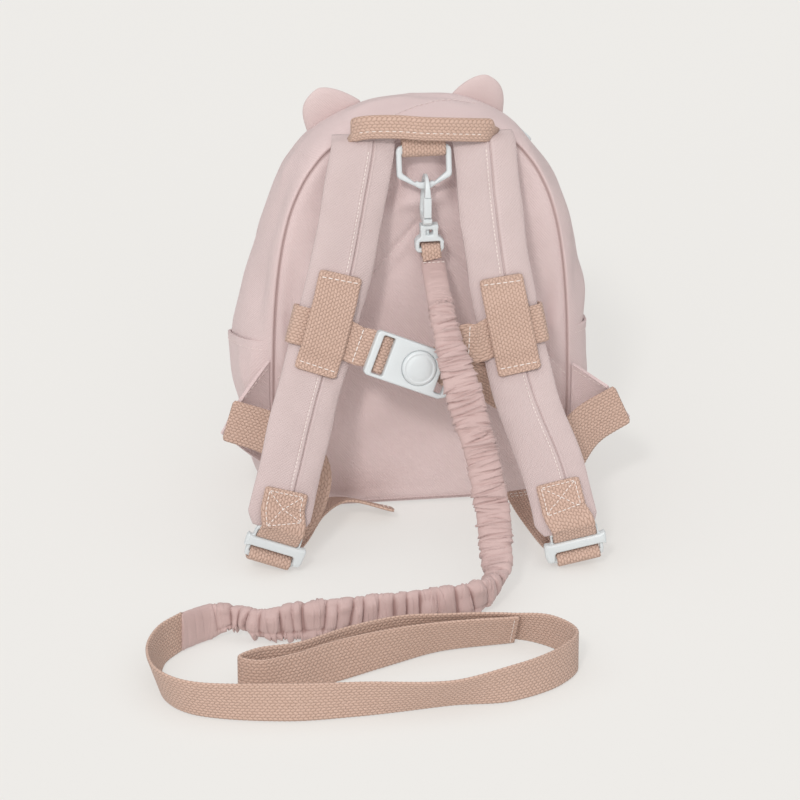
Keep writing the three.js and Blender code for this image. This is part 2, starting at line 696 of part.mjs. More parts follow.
// Chest buckle with its press button
{
  const along = from(BUCKLE_ALONG).normalize();
  const out = vec(0, -1, BUCKLE_TILT).addScaledVector(along, along.y - along.z * BUCKLE_TILT).normalize();
  const up = along.clone().cross(out).negate();
  const middle = from(BUCKLE_AT);
  const shape = new THREE.Shape();
  shape.moveTo(BUCKLE_LEFT + 2, -BUCKLE_HALF);
  shape.lineTo(BUCKLE_RIGHT - 5, -BUCKLE_HALF);
  shape.lineTo(BUCKLE_RIGHT, -BUCKLE_HALF + 3);
  shape.lineTo(BUCKLE_RIGHT, BUCKLE_HALF - 3);
  shape.lineTo(BUCKLE_RIGHT - 5, BUCKLE_HALF);
  shape.lineTo(BUCKLE_LEFT + 2, BUCKLE_HALF);
  shape.lineTo(BUCKLE_LEFT, BUCKLE_HALF - 2);
  shape.lineTo(BUCKLE_LEFT, -BUCKLE_HALF + 2);
  const slots = [
    [BUCKLE_LEFT + 4, BUCKLE_LEFT + 11, SLOT_HALF],
    [BUCKLE_RIGHT - 8.5, BUCKLE_RIGHT - 3.5, SLOT_HALF - 1],
  ];
  for (const [near, far, half] of slots) {
    shape.holes.push(roundedBox(new THREE.Path(), near, -half, far, half, 1));
  }
  shape.holes.push(new THREE.Path(circlePoints(BUTTON_HOLE)));
  plastic('chest_buckle', plate(shape, BUCKLE_THICK, middle, along, up, 0.5));
  const disc = new THREE.Shape(circlePoints(BUTTON_RADIUS));
  const shift = BUCKLE_THICK / 2 + BUTTON_PROUD - BUTTON_THICK / 2;
  const seat = middle.clone().addScaledVector(out, shift);
  plastic('chest_button', plate(disc, BUTTON_THICK, seat, along, up, 0.8));
}

// Carry handle, webbing folded along its length
{
  const route = [
    [-43, -48.4, 231], [-41, -50.5, 234], [-33, -54.5, 235], [-16, -57.5, 236.5], [0, -59.5, 236],
    [16, -58.5, 235], [33, -54.5, 233], [41, -50.5, 232], [43, -48.4, 229],
  ].map(from);
  const upright = [
    [-1, 0, 0.25], [-0.8, 0, 0.8], [0, 0.25, 1], [0, 0.25, 1], [0, 0.25, 1],
    [0, 0.25, 1], [0, 0.25, 1], [0.8, 0, 0.8], [1, 0, 0.25],
  ].map(from);
  band('carry_handle', ribbon(framesAlong(route, upright, 28), 13, 3.6));
}

// Tab of webbing round the ring's top bar
{
  const [y, z] = [RING_TOP[1], RING_TOP[2]];
  const clear = RING_BAR / 2 + GAP + WEBBING / 2;
  const route = [
    vec(0, y + clear + 0.6, z + 7), vec(0, y + clear + 0.4, z + 3), vec(0, y + clear, z),
    vec(0, y + clear * 0.72, z - clear * 0.75), vec(0, y, z - clear - 0.1),
    vec(0, y - clear * 0.72, z - clear * 0.75), vec(0, y - clear, z),
    vec(0, y - clear * 0.6, z + clear * 0.9), vec(0, y - clear * 0.25, z + 6.2),
  ];
  const frames = framesAlong(route, route.map(() => vec(1, 0, 0)), 18);
  band('ring_tab', ribbon(frames, WEBBING_WIDTH, WEBBING - 0.2));
}

// Five-sided ring
{
  const shape = new THREE.Shape();
  const b = RING_BAR;
  shape.moveTo(-RING_HALF + 3, b / 2);
  shape.lineTo(-RING_HALF, b / 2 - 3);
  shape.lineTo(-RING_HALF, -14.5);
  shape.lineTo(-RING_HALF + 1.2, -16.5);
  shape.lineTo(-3.4, -RING_DEEP + 0.3);
  shape.quadraticCurveTo(0, -RING_DEEP - 0.6, 3.4, -RING_DEEP + 0.3);
  shape.lineTo(RING_HALF - 1.2, -16.5);
  shape.lineTo(RING_HALF, -14.5);
  shape.lineTo(RING_HALF, b / 2 - 3);
  shape.lineTo(RING_HALF - 3, b / 2);
  const hole = new THREE.Path();
  hole.moveTo(-RING_HALF + 3.2, -b / 2);
  hole.lineTo(-RING_HALF + 3.2, -13.4);
  hole.lineTo(-3, -RING_DEEP + b + 0.2);
  hole.quadraticCurveTo(0, -RING_DEEP + b - 0.4, 3, -RING_DEEP + b + 0.2);
  hole.lineTo(RING_HALF - 3.2, -13.4);
  hole.lineTo(RING_HALF - 3.2, -b / 2);
  shape.holes.push(hole);
  const up = from(RING_DOWN).normalize().negate();
  plastic('ring', plate(shape, RING_BAR, from(RING_TOP), vec(1, 0, 0), up, 0.9));
}

// Swivel hook: bow, spine and foot in one piece, with a sprung gate
{
  const shape = new THREE.Shape();
  shape.moveTo(BOW_Y - BOW_OUTER, NOSE_Z);
  shape.lineTo(BOW_Y - BOW_OUTER, BOW_Z);
  shape.absarc(BOW_Y, BOW_Z, BOW_OUTER, Math.PI, 0, true);
  shape.lineTo(BOW_Y + BOW_OUTER, GATE_FOOT + 1);
  shape.lineTo(BOW_Y + 6, COLLAR_Z);
  shape.lineTo(BOW_Y - 6.4, COLLAR_Z);
  shape.lineTo(BOW_Y - 8.2, COLLAR_Z + 2);
  shape.lineTo(BOW_Y - 8.2, GATE_FOOT - GAP);
  shape.lineTo(BOW_Y + BOW_INNER - 3, GATE_FOOT - GAP);
  shape.quadraticCurveTo(BOW_Y + BOW_INNER, GATE_FOOT - GAP, BOW_Y + BOW_INNER, GATE_FOOT + 4);
  shape.lineTo(BOW_Y + BOW_INNER, BOW_Z);
  shape.absarc(BOW_Y, BOW_Z, BOW_INNER, 0, Math.PI, false);
  shape.lineTo(BOW_Y - BOW_INNER, NOSE_Z);
  const [yWay, zWay] = [vec(0, 1, 0), vec(0, 0, 1)];
  plastic('hook_body', plate(shape, HOOK_THICK, vec(HOOK_X, 0, 0), yWay, zWay, 0.6));
  const gate = roundedBox(new THREE.Shape(), BOW_Y - 8, GATE_FOOT, BOW_Y - 5.2, NOSE_Z - GAP, 0.8);
  plastic('hook_gate', plate(gate, HOOK_THICK - 0.6, vec(HOOK_X, 0, 0), yWay, zWay, 0.4));
}

// Swivel eye under the hook, with a slot for the rein's loop
{
  const shape = new THREE.Shape();
  shape.moveTo(-4.6, EYE_TOP);
  shape.lineTo(-4.6, 172);
  shape.lineTo(-7.6, 170);
  shape.lineTo(-7.6, 164.4);
  shape.lineTo(-6, 163);
  shape.lineTo(7.2, 163);
  shape.lineTo(8.8, 164.4);
  shape.lineTo(8.8, 170);
  shape.lineTo(5.4, 172);
  shape.lineTo(5.4, EYE_TOP);
  shape.holes.push(roundedBox(new THREE.Path(), -5.4, 165.6, 6.8, 169.6, 0.6));
  plastic('hook_eye', plate(shape, 6.4, vec(HOOK_X + 1, -60.5, 0), vec(1, 0, 0), vec(0, 0, 1), 0.6));
}

// Loop of narrow webbing through the eye
{
  const x = HOOK_X + 2.2;
  const route = [
    vec(x + 0.6, -65.3, 159.4), vec(x + 0.3, -65.3, 161), vec(x, -64.9, 164.5),
    vec(x, -63.4, 166.6), vec(x, -60.5, 167.2), vec(x, -57.6, 166.6),
    vec(x, -56.1, 164.5), vec(x + 0.3, -57, 161.5), vec(x + 0.6, -59.2, 159.4),
  ];
  band('hook_loop', ribbon(framesAlong(route, route.map(() => vec(1, 0, 0)), 20), LOOP_WIDTH, 1.3));
}

// Gathered rein sleeve: hangs from the hook, then runs along the floor on its edge
{
  const route = SLEEVE_ROUTE.map((row) => vec(row.x, row.y, row.z));
  const across = SLEEVE_ROUTE.map((row) => vec(1 - row.upright, 0, row.upright));
  const frames = framesAlong(route, across, SLEEVE_STEPS);
  const rings = frames.map((f, k) => {
    const place = (k / SLEEVE_STEPS) * (SLEEVE_ROUTE.length - 1);
    const row = Math.min(SLEEVE_ROUTE.length - 2, Math.floor(place));
    const share = place - row;
    const wide = mix(SLEEVE_ROUTE[row].wide, SLEEVE_ROUTE[row + 1].wide, share);
    const thick = mix(SLEEVE_ROUTE[row].thick, SLEEVE_ROUTE[row + 1].thick, share);
    const ruffled = k > 8 && k < SLEEVE_STEPS - 5;
    const puff = ruffled ? 1 + (k % 2 ? GATHER : -GATHER) : 1;
    const ring = [];
    for (let c = 0; c < 8; c++) {
      const turn = (2 * Math.PI * (c + 0.5)) / 8;
      ring.push(offsetPoint(f, 0.54 * wide * Math.cos(turn), 0.54 * thick * Math.sin(turn) * puff));
    }
    return ring;
  });
  addMesh('rein_sleeve', loft(rings), SLEEVE_PINK, 0.85);
}

// Rein webbing on its edge, ending in a hand loop laid back against itself
{
  const half = REIN_WIDTH / 2;
  const flat = LEAD_ROUTE.map((row) => vec(row.x, row.y, 0));
  const curve = new THREE.CatmullRomCurve3(flat, false, 'centripetal');
  const knots = LEAD_ROUTE.map((row) => vec(row.x, row.y, half * Math.cos(rad(row.lean)) + 0.9));
  const across = LEAD_ROUTE.map((row, k) => {
    const lean = rad(row.lean);
    const way = curve.getTangent(k / (LEAD_ROUTE.length - 1));
    const side = vec(way.y, -way.x, 0);
    const towardsFront = side.y > 0 ? -1 : 1;
    return side.multiplyScalar(towardsFront * Math.sin(lean)).add(vec(0, 0, Math.cos(lean)));
  });
  band('rein_webbing', ribbon(framesAlong(knots, across, LEAD_STEPS), REIN_WIDTH, WEBBING));
}

export default group;
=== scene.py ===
import math
from functools import partial

import bpy
import numpy as np
from mathutils import Matrix, Vector


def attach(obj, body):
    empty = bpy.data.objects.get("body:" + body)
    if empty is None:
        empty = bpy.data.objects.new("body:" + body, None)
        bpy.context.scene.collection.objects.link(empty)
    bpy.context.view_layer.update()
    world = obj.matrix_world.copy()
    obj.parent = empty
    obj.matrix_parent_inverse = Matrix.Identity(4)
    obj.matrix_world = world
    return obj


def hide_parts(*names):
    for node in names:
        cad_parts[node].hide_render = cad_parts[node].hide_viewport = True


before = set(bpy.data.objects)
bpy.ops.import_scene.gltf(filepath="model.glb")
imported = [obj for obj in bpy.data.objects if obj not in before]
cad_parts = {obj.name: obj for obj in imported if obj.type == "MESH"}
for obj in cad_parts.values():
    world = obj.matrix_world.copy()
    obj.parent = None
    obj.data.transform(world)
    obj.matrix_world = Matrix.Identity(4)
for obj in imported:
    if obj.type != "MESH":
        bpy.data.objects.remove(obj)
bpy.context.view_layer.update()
print("frame loaded:", len(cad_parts), "nodes")

mm = 0.001  # shapes are worked out in millimetres and go into meshes in metres
curveSteps = 40  # points worked out for each given one
sides = {"left": -1, "right": 1}
sharp = {"cloth": 50, "plate": 32, "turned": 40}  # edges over this angle stay crisp, degrees
scene = bpy.context.scene


# camera, light and floor

shot = {
    "eye": (-0.4185, -2.9365, 1.3047),
    "aim": (-0.0086, -0.0195, 0.0543),
    "lens": 247.7,
    "sensor": 36,
    "reach": 60,
}
studio = {
    "sky": 0.42,
    "skyColour": (1.0, 0.995, 0.985),
    "lamps": {
        "key": {"energy": 0.95, "from": (-0.28, -0.75, 0.60), "spread": 7, "colour": (1.0, 0.985, 0.965)},
        "fill": {"energy": 0.95, "from": (-0.15, -0.92, 0.36), "spread": 60, "colour": (1.0, 0.995, 0.99)},
        "top": {"energy": 1.1, "from": (-0.10, -0.25, 0.95), "spread": 110, "colour": (1.0, 0.995, 0.99)},
    },
    "floorColour": (0.36, 0.354, 0.343),
    "floorGlow": 1.32,
    "floorBroad": 1.5,
    "floorShade": 0.985,
    "floorRough": 0.9,
    "floorGloss": 0.1,
    "floorSize": 14,
}


def aimAt(obj, place, target):
    obj.location = place
    obj.rotation_mode = "QUATERNION"
    obj.rotation_quaternion = (Vector(target) - Vector(place)).to_track_quat("-Z", "Y")


camera = bpy.data.objects.new("camera", bpy.data.cameras.new("camera"))
camera.data.lens = shot["lens"]
camera.data.sensor_width = shot["sensor"]
camera.data.clip_end = shot["reach"]
scene.collection.objects.link(camera)
aimAt(camera, shot["eye"], shot["aim"])
scene.camera = camera
scene.view_settings.view_transform = "Standard"

world = bpy.data.worlds.new("studio")
world.use_nodes = True
worldNode = world.node_tree.nodes["Background"]
worldNode.inputs["Color"].default_value = (*studio["skyColour"], 1)
worldNode.inputs["Strength"].default_value = studio["sky"]
scene.world = world

for lampName, spec in studio["lamps"].items():
    lamp = bpy.data.objects.new(lampName, bpy.data.lights.new(lampName, "SUN"))
    lamp.data.energy = spec["energy"]
    lamp.data.color = spec["colour"]
    lamp.data.angle = math.radians(spec["spread"])
    scene.collection.objects.link(lamp)
    aimAt(lamp, spec["from"], (0, 0, 0))
print("camera and light set")


# curves, frames and meshes

def vec(values):
    return np.array(values, float)


def unit(v):
    return v / np.maximum(np.linalg.norm(v, axis=-1, keepdims=True), 1e-12)


def between(pair, share):  # from the first value to the second
    return pair[0] + (pair[1] - pair[0]) * share


def signedPower(v, power):
    return np.sign(v) * np.abs(v) ** power


def bump(v, middle, wide):
    return np.exp(-(((v - middle) / wide) ** 2))


def spread(*columns):  # columns of different shapes laid over one grid
    return np.stack(np.broadcast_arrays(*columns), -1)


def smoothPath(points, count):  # centripetal curve through given points
    p = vec(points)
    last = len(p) - 1
    ends = np.vstack([2 * p[0] - p[1], p, 2 * p[-1] - p[-2]])
    t = np.linspace(0, last, count)
    i = np.minimum(t.astype(int), last - 1)
    w = (t - i)[:, None]
    a, b, c, d = (ends[i + k] for k in range(4))
    steps = (a, b), (b, c), (c, d)
    gap = [np.maximum(((q - r) ** 2).sum(1, keepdims=True) ** 0.25, 1e-6) for q, r in steps]
    out = ((b - a) / gap[0] - (c - a) / (gap[0] + gap[1]) + (c - b) / gap[1]) * gap[1]
    into = ((c - b) / gap[1] - (d - b) / (gap[1] + gap[2]) + (d - c) / gap[2]) * gap[1]
    return b + out * w + (3 * (c - b) - 2 * out - into) * w**2 + (2 * (b - c) + out + into) * w**3


def resample(run, at, values):
    return np.stack([np.interp(at, run, values[:, k]) for k in range(values.shape[1])], 1)


def runLength(place):
    return np.concatenate([[0], np.cumsum(np.linalg.norm(np.diff(place, axis=0), axis=1))])


def framesAlong(points, across, step, facing=None, extra=None):  # evenly spaced frames on a route
    dense = curveSteps * len(points)
    place = smoothPath(points, dense)
    side = smoothPath(across, dense)
    more = smoothPath(extra, dense) if extra is not None else np.zeros((dense, 1))
    run = runLength(place)
    at = np.linspace(0, run[-1], max(4, int(run[-1] / step)) + 1)
    place, side, more = (resample(run, at, v) for v in (place, side, more))
    along = unit(np.gradient(place, axis=0))
    side = unit(side - (side * along).sum(1, keepdims=True) * along)
    face = np.cross(along, side)
    if facing is not None and (face @ vec(facing)).mean() < 0:
        face = -face
    return {"place": place, "along": along, "side": side, "face": face, "run": at, "extra": more}


def onFrames(f, s, a, n):  # point and facing at run s, offset a across and n out
    s = np.atleast_1d(np.asarray(s, float))
    place, side, face = (resample(f["run"], s, f[k]) for k in ("place", "side", "face"))
    a, n = (np.broadcast_to(np.asarray(v, float), s.shape)[:, None] for v in (a, n))
    return place + side * a + face * n, face


def sweep(f, wide, tall):  # rings along frames, by distance across and out
    return f["place"][:, None] + f["side"][:, None] * wide[..., None] + f["face"][:, None] * tall[..., None]


def gridFaces(rows, cols, wrap=False):
    i = np.arange(rows - 1)[:, None]
    j = np.arange(cols if wrap else cols - 1)[None, :]
    k = (j + 1) % cols
    return np.stack([i * cols + j, i * cols + k, (i + 1) * cols + k, (i + 1) * cols + j], -1).reshape(-1, 4)


def addMesh(name, verts, faces, weave=None, smooth=True):
    mesh = bpy.data.meshes.new(name)
    mesh.from_pydata((np.asarray(verts).reshape(-1, 3) * mm).tolist(), [], [list(map(int, q)) for q in faces])
    if weave is not None:
        weave = np.asarray(weave)
        flat = np.zeros((len(mesh.vertices), 3), np.float32)
        flat[:, : weave.shape[-1]] = weave.reshape(len(flat), -1) * mm
        mesh.attributes.new("weave", "FLOAT_VECTOR", "POINT").data.foreach_set("vector", flat.ravel())
    mesh.polygons.foreach_set("use_smooth", [smooth] * len(mesh.polygons))
    mesh.update()
    obj = bpy.data.objects.new(name, mesh)
    scene.collection.objects.link(obj)
    return obj


def finishPiece(obj, material, nodes=(), body="bag"):
    obj.data.materials.clear()
    obj.data.materials.append(material)
    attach(obj, body)
    if nodes:
        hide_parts(*nodes)
    return obj


def loftPiece(name, rings, weave=None):  # closed form through rings
    rings = np.asarray(rings)
    rows, cols = rings.shape[:2]
    caps = [list(range(cols))[::-1], list(range((rows - 1) * cols, rows * cols))]
    faces = gridFaces(rows, cols, wrap=True)
    p = rings.reshape(-1, 3) - rings.reshape(-1, 3).mean(0)
    a, b, c, d = (p[corner] for corner in faces.T)
    volume = (np.cross(a, b) * c).sum() + (np.cross(a, c) * d).sum()
    faces = [*faces.tolist(), *caps]
    if volume < 0:
        faces = [face[::-1] for face in faces]
    return addMesh(name, rings, faces, weave)


def sheetPiece(name, grid, thick, outward, weave=None):  # cloth of a given thickness under its outer face
    grid = np.asarray(grid)
    rows, cols = grid.shape[:2]
    faces = gridFaces(rows, cols)
    p = grid.reshape(-1, 3)
    normals = np.cross(p[faces[:, 2]] - p[faces[:, 0]], p[faces[:, 3]] - p[faces[:, 1]])
    out = np.broadcast_to(np.asarray(outward, float), grid.shape).reshape(-1, 3)[faces[:, 0]]
    if (normals * out).sum() < 0:
        faces = faces[:, ::-1]
    obj = addMesh(name, grid, faces.tolist(), weave)
    skin = obj.modifiers.new("thickness", "SOLIDIFY")
    skin.thickness = thick * mm
    skin.offset = -1
    skin.use_even_offset = False
    made = bpy.data.meshes.new_from_object(obj.evaluated_get(bpy.context.evaluated_depsgraph_get()))
    obj.modifiers.clear()
    obj.data = made
    made.name = name
    made.set_sharp_from_angle(angle=math.radians(sharp["cloth"]))
    return obj


bandEdge = {"round": 0.6, "turns": (60, 25, -25, -60), "full": 75, "flats": 10, "yarns": 0.11}


def bandSection(width, thick):
    edge, flats = bandEdge["round"] * thick, bandEdge["flats"]
    flat = np.linspace(-width / 2 + edge, width / 2 - edge, flats)
    turns = np.radians(bandEdge["turns"])
    top = np.stack([flat, np.full(flats, thick / 2)], 1)
    high = thick / 2 * np.sin(turns) / np.sin(np.radians(bandEdge["full"]))
    right = np.stack([width / 2 - edge + edge * np.cos(turns), high], 1)
    half = np.vstack([top, right])
    return np.vstack([half, -half])


def bandPiece(name, frames, width, thick, fine=1.05, corner=0.0):  # woven band along frames
    over, out = bandSection(width, thick).T
    run = frames["run"]
    yarns = bandEdge["yarns"] * np.sin(2 * np.pi * run * fine / (tanCotton["long"] / mm))
    ends = np.clip(np.minimum(run, run[-1] - run) / max(corner, 0.01), 0, 1)
    cut = corner * (1 - np.sqrt(1 - (1 - ends) ** 2))
    wide = over * (1 + (yarns - cut) / (width / 2))[:, None]
    rings = sweep(frames, wide, np.broadcast_to(out, wide.shape))
    return loftPiece(name, rings, spread(run[:, None] * fine, over[None] * fine))


def wave(seed, *terms):  # smooth repeatable wander
    rng = np.random.default_rng(seed)
    total = 0
    for value, pitch in terms:
        for k in range(3):
            turn = value * (2 * np.pi / pitch) * (0.7 + 0.33 * k)
            total = total + np.sin(turn + rng.uniform(0, 6.28)) / (1 + k)
    return total / len(terms)


# threads, one mesh for each group of seams

thread = {
    "lift": 0.22, "sink": 0.04, "sides": 6,
    "share": (0, 0.12, 0.5, 0.88, 1),  # along one stitch, with the thread's share of its full size
    "size": (0.35, 0.9, 1, 0.9, 0.35),
}
stitches = {  # stitch, gap and thread radius
    "sleeveHem": (1.9, 0.8, 0.22),
    "leadHem": (2.0, 0.8, 0.22),
    "zipTooth": (2.1, 0.05, 0.48),
    "chevron": (2.3, 1.0, 0.28),
    "pocketHem": (2.4, 1.0, 0.24),
    "wingHem": (2.2, 1.0, 0.22),
    "strapLap": (1.7, 0.65, 0.25),
    "patch": (2.6, 0.7, 0.31),
    "chest": (2.7, 0.7, 0.36),
    "box": (2.0, 0.7, 0.27),
    "boxCross": (2.0, 0.8, 0.27),
    "tail": (1.9, 0.7, 0.27),
    "handle": (2.6, 1.1, 0.25),
    "crown": (2.6, 1.1, 0.24),
}
seams = {}


def sewLine(group, path, outward, kind):
    stitch, gap, radius = stitches[kind]
    path = np.asarray(path)
    outward = unit(np.broadcast_to(np.asarray(outward, float), path.shape))
    run = runLength(path)
    count = max(1, int((run[-1] + gap) / (stitch + gap)))
    pitch = run[-1] / count
    turn = np.linspace(0, 2 * np.pi, thread["sides"], endpoint=False)
    share, size = vec(thread["share"]), radius * vec(thread["size"])
    lift = thread["lift"] * (1 - (2 * share - 1) ** 2) - thread["sink"]
    for k in range(count):
        s = (k + 0.5) * pitch + (share - 0.5) * stitch
        middle = resample(run, s, path)
        out = unit(resample(run, s, outward))
        across = unit(np.cross(unit(middle[-1:] - middle[:1]), out))
        middle = middle + out * lift[:, None]
        ring = middle[:, None] + size[:, None, None] * (
            across[:, None] * np.cos(turn)[None, :, None] + out[:, None] * np.sin(turn)[None, :, None]
        )
        seams.setdefault(group, []).append(ring)


def makeThreads(group, material):
    verts, faces, start = [], [], 0
    for ring in seams[group]:
        rows, cols = ring.shape[:2]
        verts.append(ring.reshape(-1, 3))
        faces += (gridFaces(rows, cols, wrap=True) + start).tolist()
        faces.append([start + k for k in range(cols)][::-1])
        faces.append([start + (rows - 1) * cols + k for k in range(cols)])
        start += rows * cols
    return finishPiece(addMesh(group, np.vstack(verts), faces), material)


# shader groups

def newGroup(name, inputs, outputs):
    tree = bpy.data.node_groups.new(name, "ShaderNodeTree")
    for socket, value in inputs.items():
        kind = "NodeSocketVector" if value is None else "NodeSocketFloat"
        made = tree.interface.new_socket(socket, in_out="INPUT", socket_type=kind)
        if value is not None:
            made.default_value = value
    for socket in outputs:
        tree.interface.new_socket(socket, in_out="OUTPUT", socket_type="NodeSocketFloat")
    return tree, tree.nodes.new("NodeGroupInput").outputs, tree.nodes.new("NodeGroupOutput").inputs


def feed(tree, socket, value):  # a plain number or a link
    if isinstance(value, (int, float)):
        socket.default_value = value
    elif value is not None:
        tree.links.new(value, socket)


def mathNode(tree, operation, a, b=None, c=None):
    node = tree.nodes.new("ShaderNodeMath")
    node.operation = operation
    for socket, value in zip(node.inputs, (a, b, c)):
        feed(tree, socket, value)
    return node.outputs[0]


def splitVector(tree, vector):
    node = tree.nodes.new("ShaderNodeSeparateXYZ")
    tree.links.new(vector, node.inputs[0])
    return node.outputs


def noiseNode(tree, vector, scale, detail=2.0, rough=0.5):
    node = tree.nodes.new("ShaderNodeTexNoise")
    for socket, value in (("Vector", vector), ("Scale", scale), ("Detail", detail), ("Roughness", rough)):
        feed(tree, node.inputs[socket], value)
    return node.outputs["Fac"]


grain = {"slub": 900, "loose": 160, "fuzz": 2200}  # noise cells to a metre


def twillGroup():  # slanting ribs of cotton twill with slubs
    tree, given, out = newGroup("twillWeave", {"Place": None, "Pitch": 0.0008, "Slant": 1.0}, ["Height"])
    do = partial(mathNode, tree)
    x, y, _ = splitVector(tree, given["Place"])
    lean = do("MULTIPLY_ADD", y, given["Slant"], x)
    rib = do("SINE", do("MULTIPLY", do("DIVIDE", lean, given["Pitch"]), 2 * math.pi))
    yarn = do("SINE", do("MULTIPLY", do("DIVIDE", y, given["Pitch"]), 4.4 * math.pi))
    slub = noiseNode(tree, given["Place"], grain["slub"], 3, 0.65)
    height = do("MULTIPLY", do("MULTIPLY_ADD", rib, 0.5, 0.5), 0.6)
    height = do("ADD", height, do("MULTIPLY_ADD", yarn, 0.25, 0.25))
    tree.links.new(do("ADD", height, do("MULTIPLY", slub, 0.7)), out["Height"])
    return tree


def webbingGroup():  # fat yarns of cotton webbing in a brick pattern, each leaning to and fro
    inputs = {"Place": None, "Long": 0.003, "High": 0.0019, "Lean": 0.3}
    tree, given, out = newGroup("webbingWeave", inputs, ["Height", "Gap"])
    do = partial(mathNode, tree)
    x, y, _ = splitVector(tree, given["Place"])
    row = do("DIVIDE", y, given["High"])
    odd = do("MODULO", do("ADD", do("FLOOR", row), 64.0), 2.0)
    v = do("SUBTRACT", do("FRACT", row), 0.5)
    way = do("MULTIPLY_ADD", odd, -2.0, 1.0)
    slant = do("MULTIPLY", do("MULTIPLY", v, way), given["Lean"])
    loose = do("SUBTRACT", noiseNode(tree, given["Place"], grain["loose"], 1), 0.5)
    cell = do("ADD", do("DIVIDE", x, given["Long"]), do("MULTIPLY", odd, 0.5))
    cell = do("ADD", do("ADD", cell, slant), do("MULTIPLY", loose, 0.3))
    u = do("SUBTRACT", do("FRACT", cell), 0.5)
    bend = do("MULTIPLY_ADD", do("MULTIPLY", u, u), 0.5, v)
    far = do("MULTIPLY", do("MULTIPLY", u, u), 4.0)
    far = do("MULTIPLY_ADD", do("MULTIPLY", bend, bend), 3.0, far)
    dome = do("SQRT", do("MAXIMUM", do("SUBTRACT", 1.0, far), 0.0))
    fuzz = do("MULTIPLY", noiseNode(tree, given["Place"], grain["fuzz"], 2, 0.7), 0.22)
    tree.links.new(do("ADD", dome, fuzz), out["Height"])
    tree.links.new(do("SUBTRACT", 1.0, dome), out["Gap"])
    return tree


def mottleGroup():  # broad uneven dye and soft rubbed patches
    inputs = {"Place": None, "Broad": 14.0, "Fine": 160.0}
    tree, given, out = newGroup("clothMottle", inputs, ["Broad", "Fine"])
    for socket, rough in (("Broad", 0.55), ("Fine", 0.6)):
        tree.links.new(noiseNode(tree, given["Place"], given[socket], 3, rough), out[socket])
    return tree


twillWeave, webbingWeave, clothMottle = twillGroup(), webbingGroup(), mottleGroup()


def newMaterial(name):
    material = bpy.data.materials.new(name)
    material.use_nodes = True
    tree = material.node_tree
    return material, tree, tree.nodes["Principled BSDF"]


def setSockets(node, values):
    for socket, value in values.items():
        node.inputs[socket].default_value = value


def placeGroup(tree, group, place, values):
    node = tree.nodes.new("ShaderNodeGroup")
    node.node_tree = group
    tree.links.new(place, node.inputs["Place"])
    setSockets(node, values)
    return node.outputs


def mixColour(tree, share, a, b):
    node = tree.nodes.new("ShaderNodeMix")
    node.data_type = "RGBA"
    tree.links.new(share, node.inputs["Factor"])
    for socket, value in ((node.inputs["A"], a), (node.inputs["B"], b)):
        if isinstance(value, tuple):
            socket.default_value = (*value, 1)
        else:
            tree.links.new(value, socket)
    return node.outputs["Result"]


def bumpFrom(tree, height, strength, distance, shader):
    node = tree.nodes.new("ShaderNodeBump")
    setSockets(node, {"Strength": strength, "Distance": distance})
    tree.links.new(height, node.inputs["Height"])
    tree.links.new(node.outputs["Normal"], shader.inputs["Normal"])


def ramp(tree, value, span):  # 0 to 1 over a span of the value
    node = tree.nodes.new("ShaderNodeMapRange")
    setSockets(node, {"From Min": span[0], "From Max": span[1]})
    tree.links.new(value, node.inputs["Value"])
    return node.outputs["Result"]


def places(tree):  # woven-in place and plain object place
    woven = tree.nodes.new("ShaderNodeAttribute")
    woven.attribute_name = "weave"
    solid = tree.nodes.new("ShaderNodeTexCoord")
    return woven.outputs["Vector"], solid.outputs["Object"]


def mottled(tree, solid, spec):
    return placeGroup(tree, clothMottle, solid, {"Broad": spec["broad"], "Fine": spec["fine"]})


# colour, roughness, relief and sheen of one finish
def shadeWith(material, shader, spec, tone, rough, height):
    tree = material.node_tree
    tree.links.new(tone, shader.inputs["Base Color"])
    tree.links.new(ramp(tree, rough, spec["roughSpan"]), shader.inputs["Roughness"])
    bumpFrom(tree, height, spec["bump"], spec["deep"], shader)
    if "sheen" in spec:
        setSockets(shader, {"Sheen Weight": spec["sheen"], "Sheen Roughness": spec["sheenRough"]})
        shader.inputs["Specular IOR Level"].default_value = spec["gloss"]
    return material


clothFinish = {
    # the last span on the next line sets where painted shade in seams and creases begins and where it is
    # full, in the weave's third column
    "fine": 240.0, "dyeSpan": (0.35, 0.65), "fleckSpan": (0.25, 0.95), "paintedShadeSpan": (-0.0013, -0.0003),
    "roughSpan": (-1.5, 1.8), "sheenRough": 0.5, "gloss": 0.25, "deep": 0.00025,
}


def clothMaterial(name):
    spec = {**clothFinish, **pinkCloth[name]}
    material, tree, shader = newMaterial(name)
    woven, solid = places(tree)
    twill = placeGroup(tree, twillWeave, woven, {"Pitch": spec["pitch"], "Slant": spec["slant"]})
    mottle = mottled(tree, solid, spec)
    base = mixColour(tree, ramp(tree, mottle["Broad"], spec["dyeSpan"]), spec["shade"], spec["light"])
    tone = mixColour(tree, ramp(tree, twill["Height"], spec["fleckSpan"]), spec["fleck"], base)
    # painted shade: where the weave's third column runs low (seam lips, sleeve creases) the cloth is darkened
    # toward its shade colour, standing in for the shade that falls there
    if "paintedShade" in spec:
        relief = splitVector(tree, woven)[2]
        tone = mixColour(tree, ramp(tree, relief, spec["paintedShadeSpan"]), spec["paintedShade"], tone)
    return shadeWith(material, shader, spec, tone, mottle["Fine"], twill["Height"])
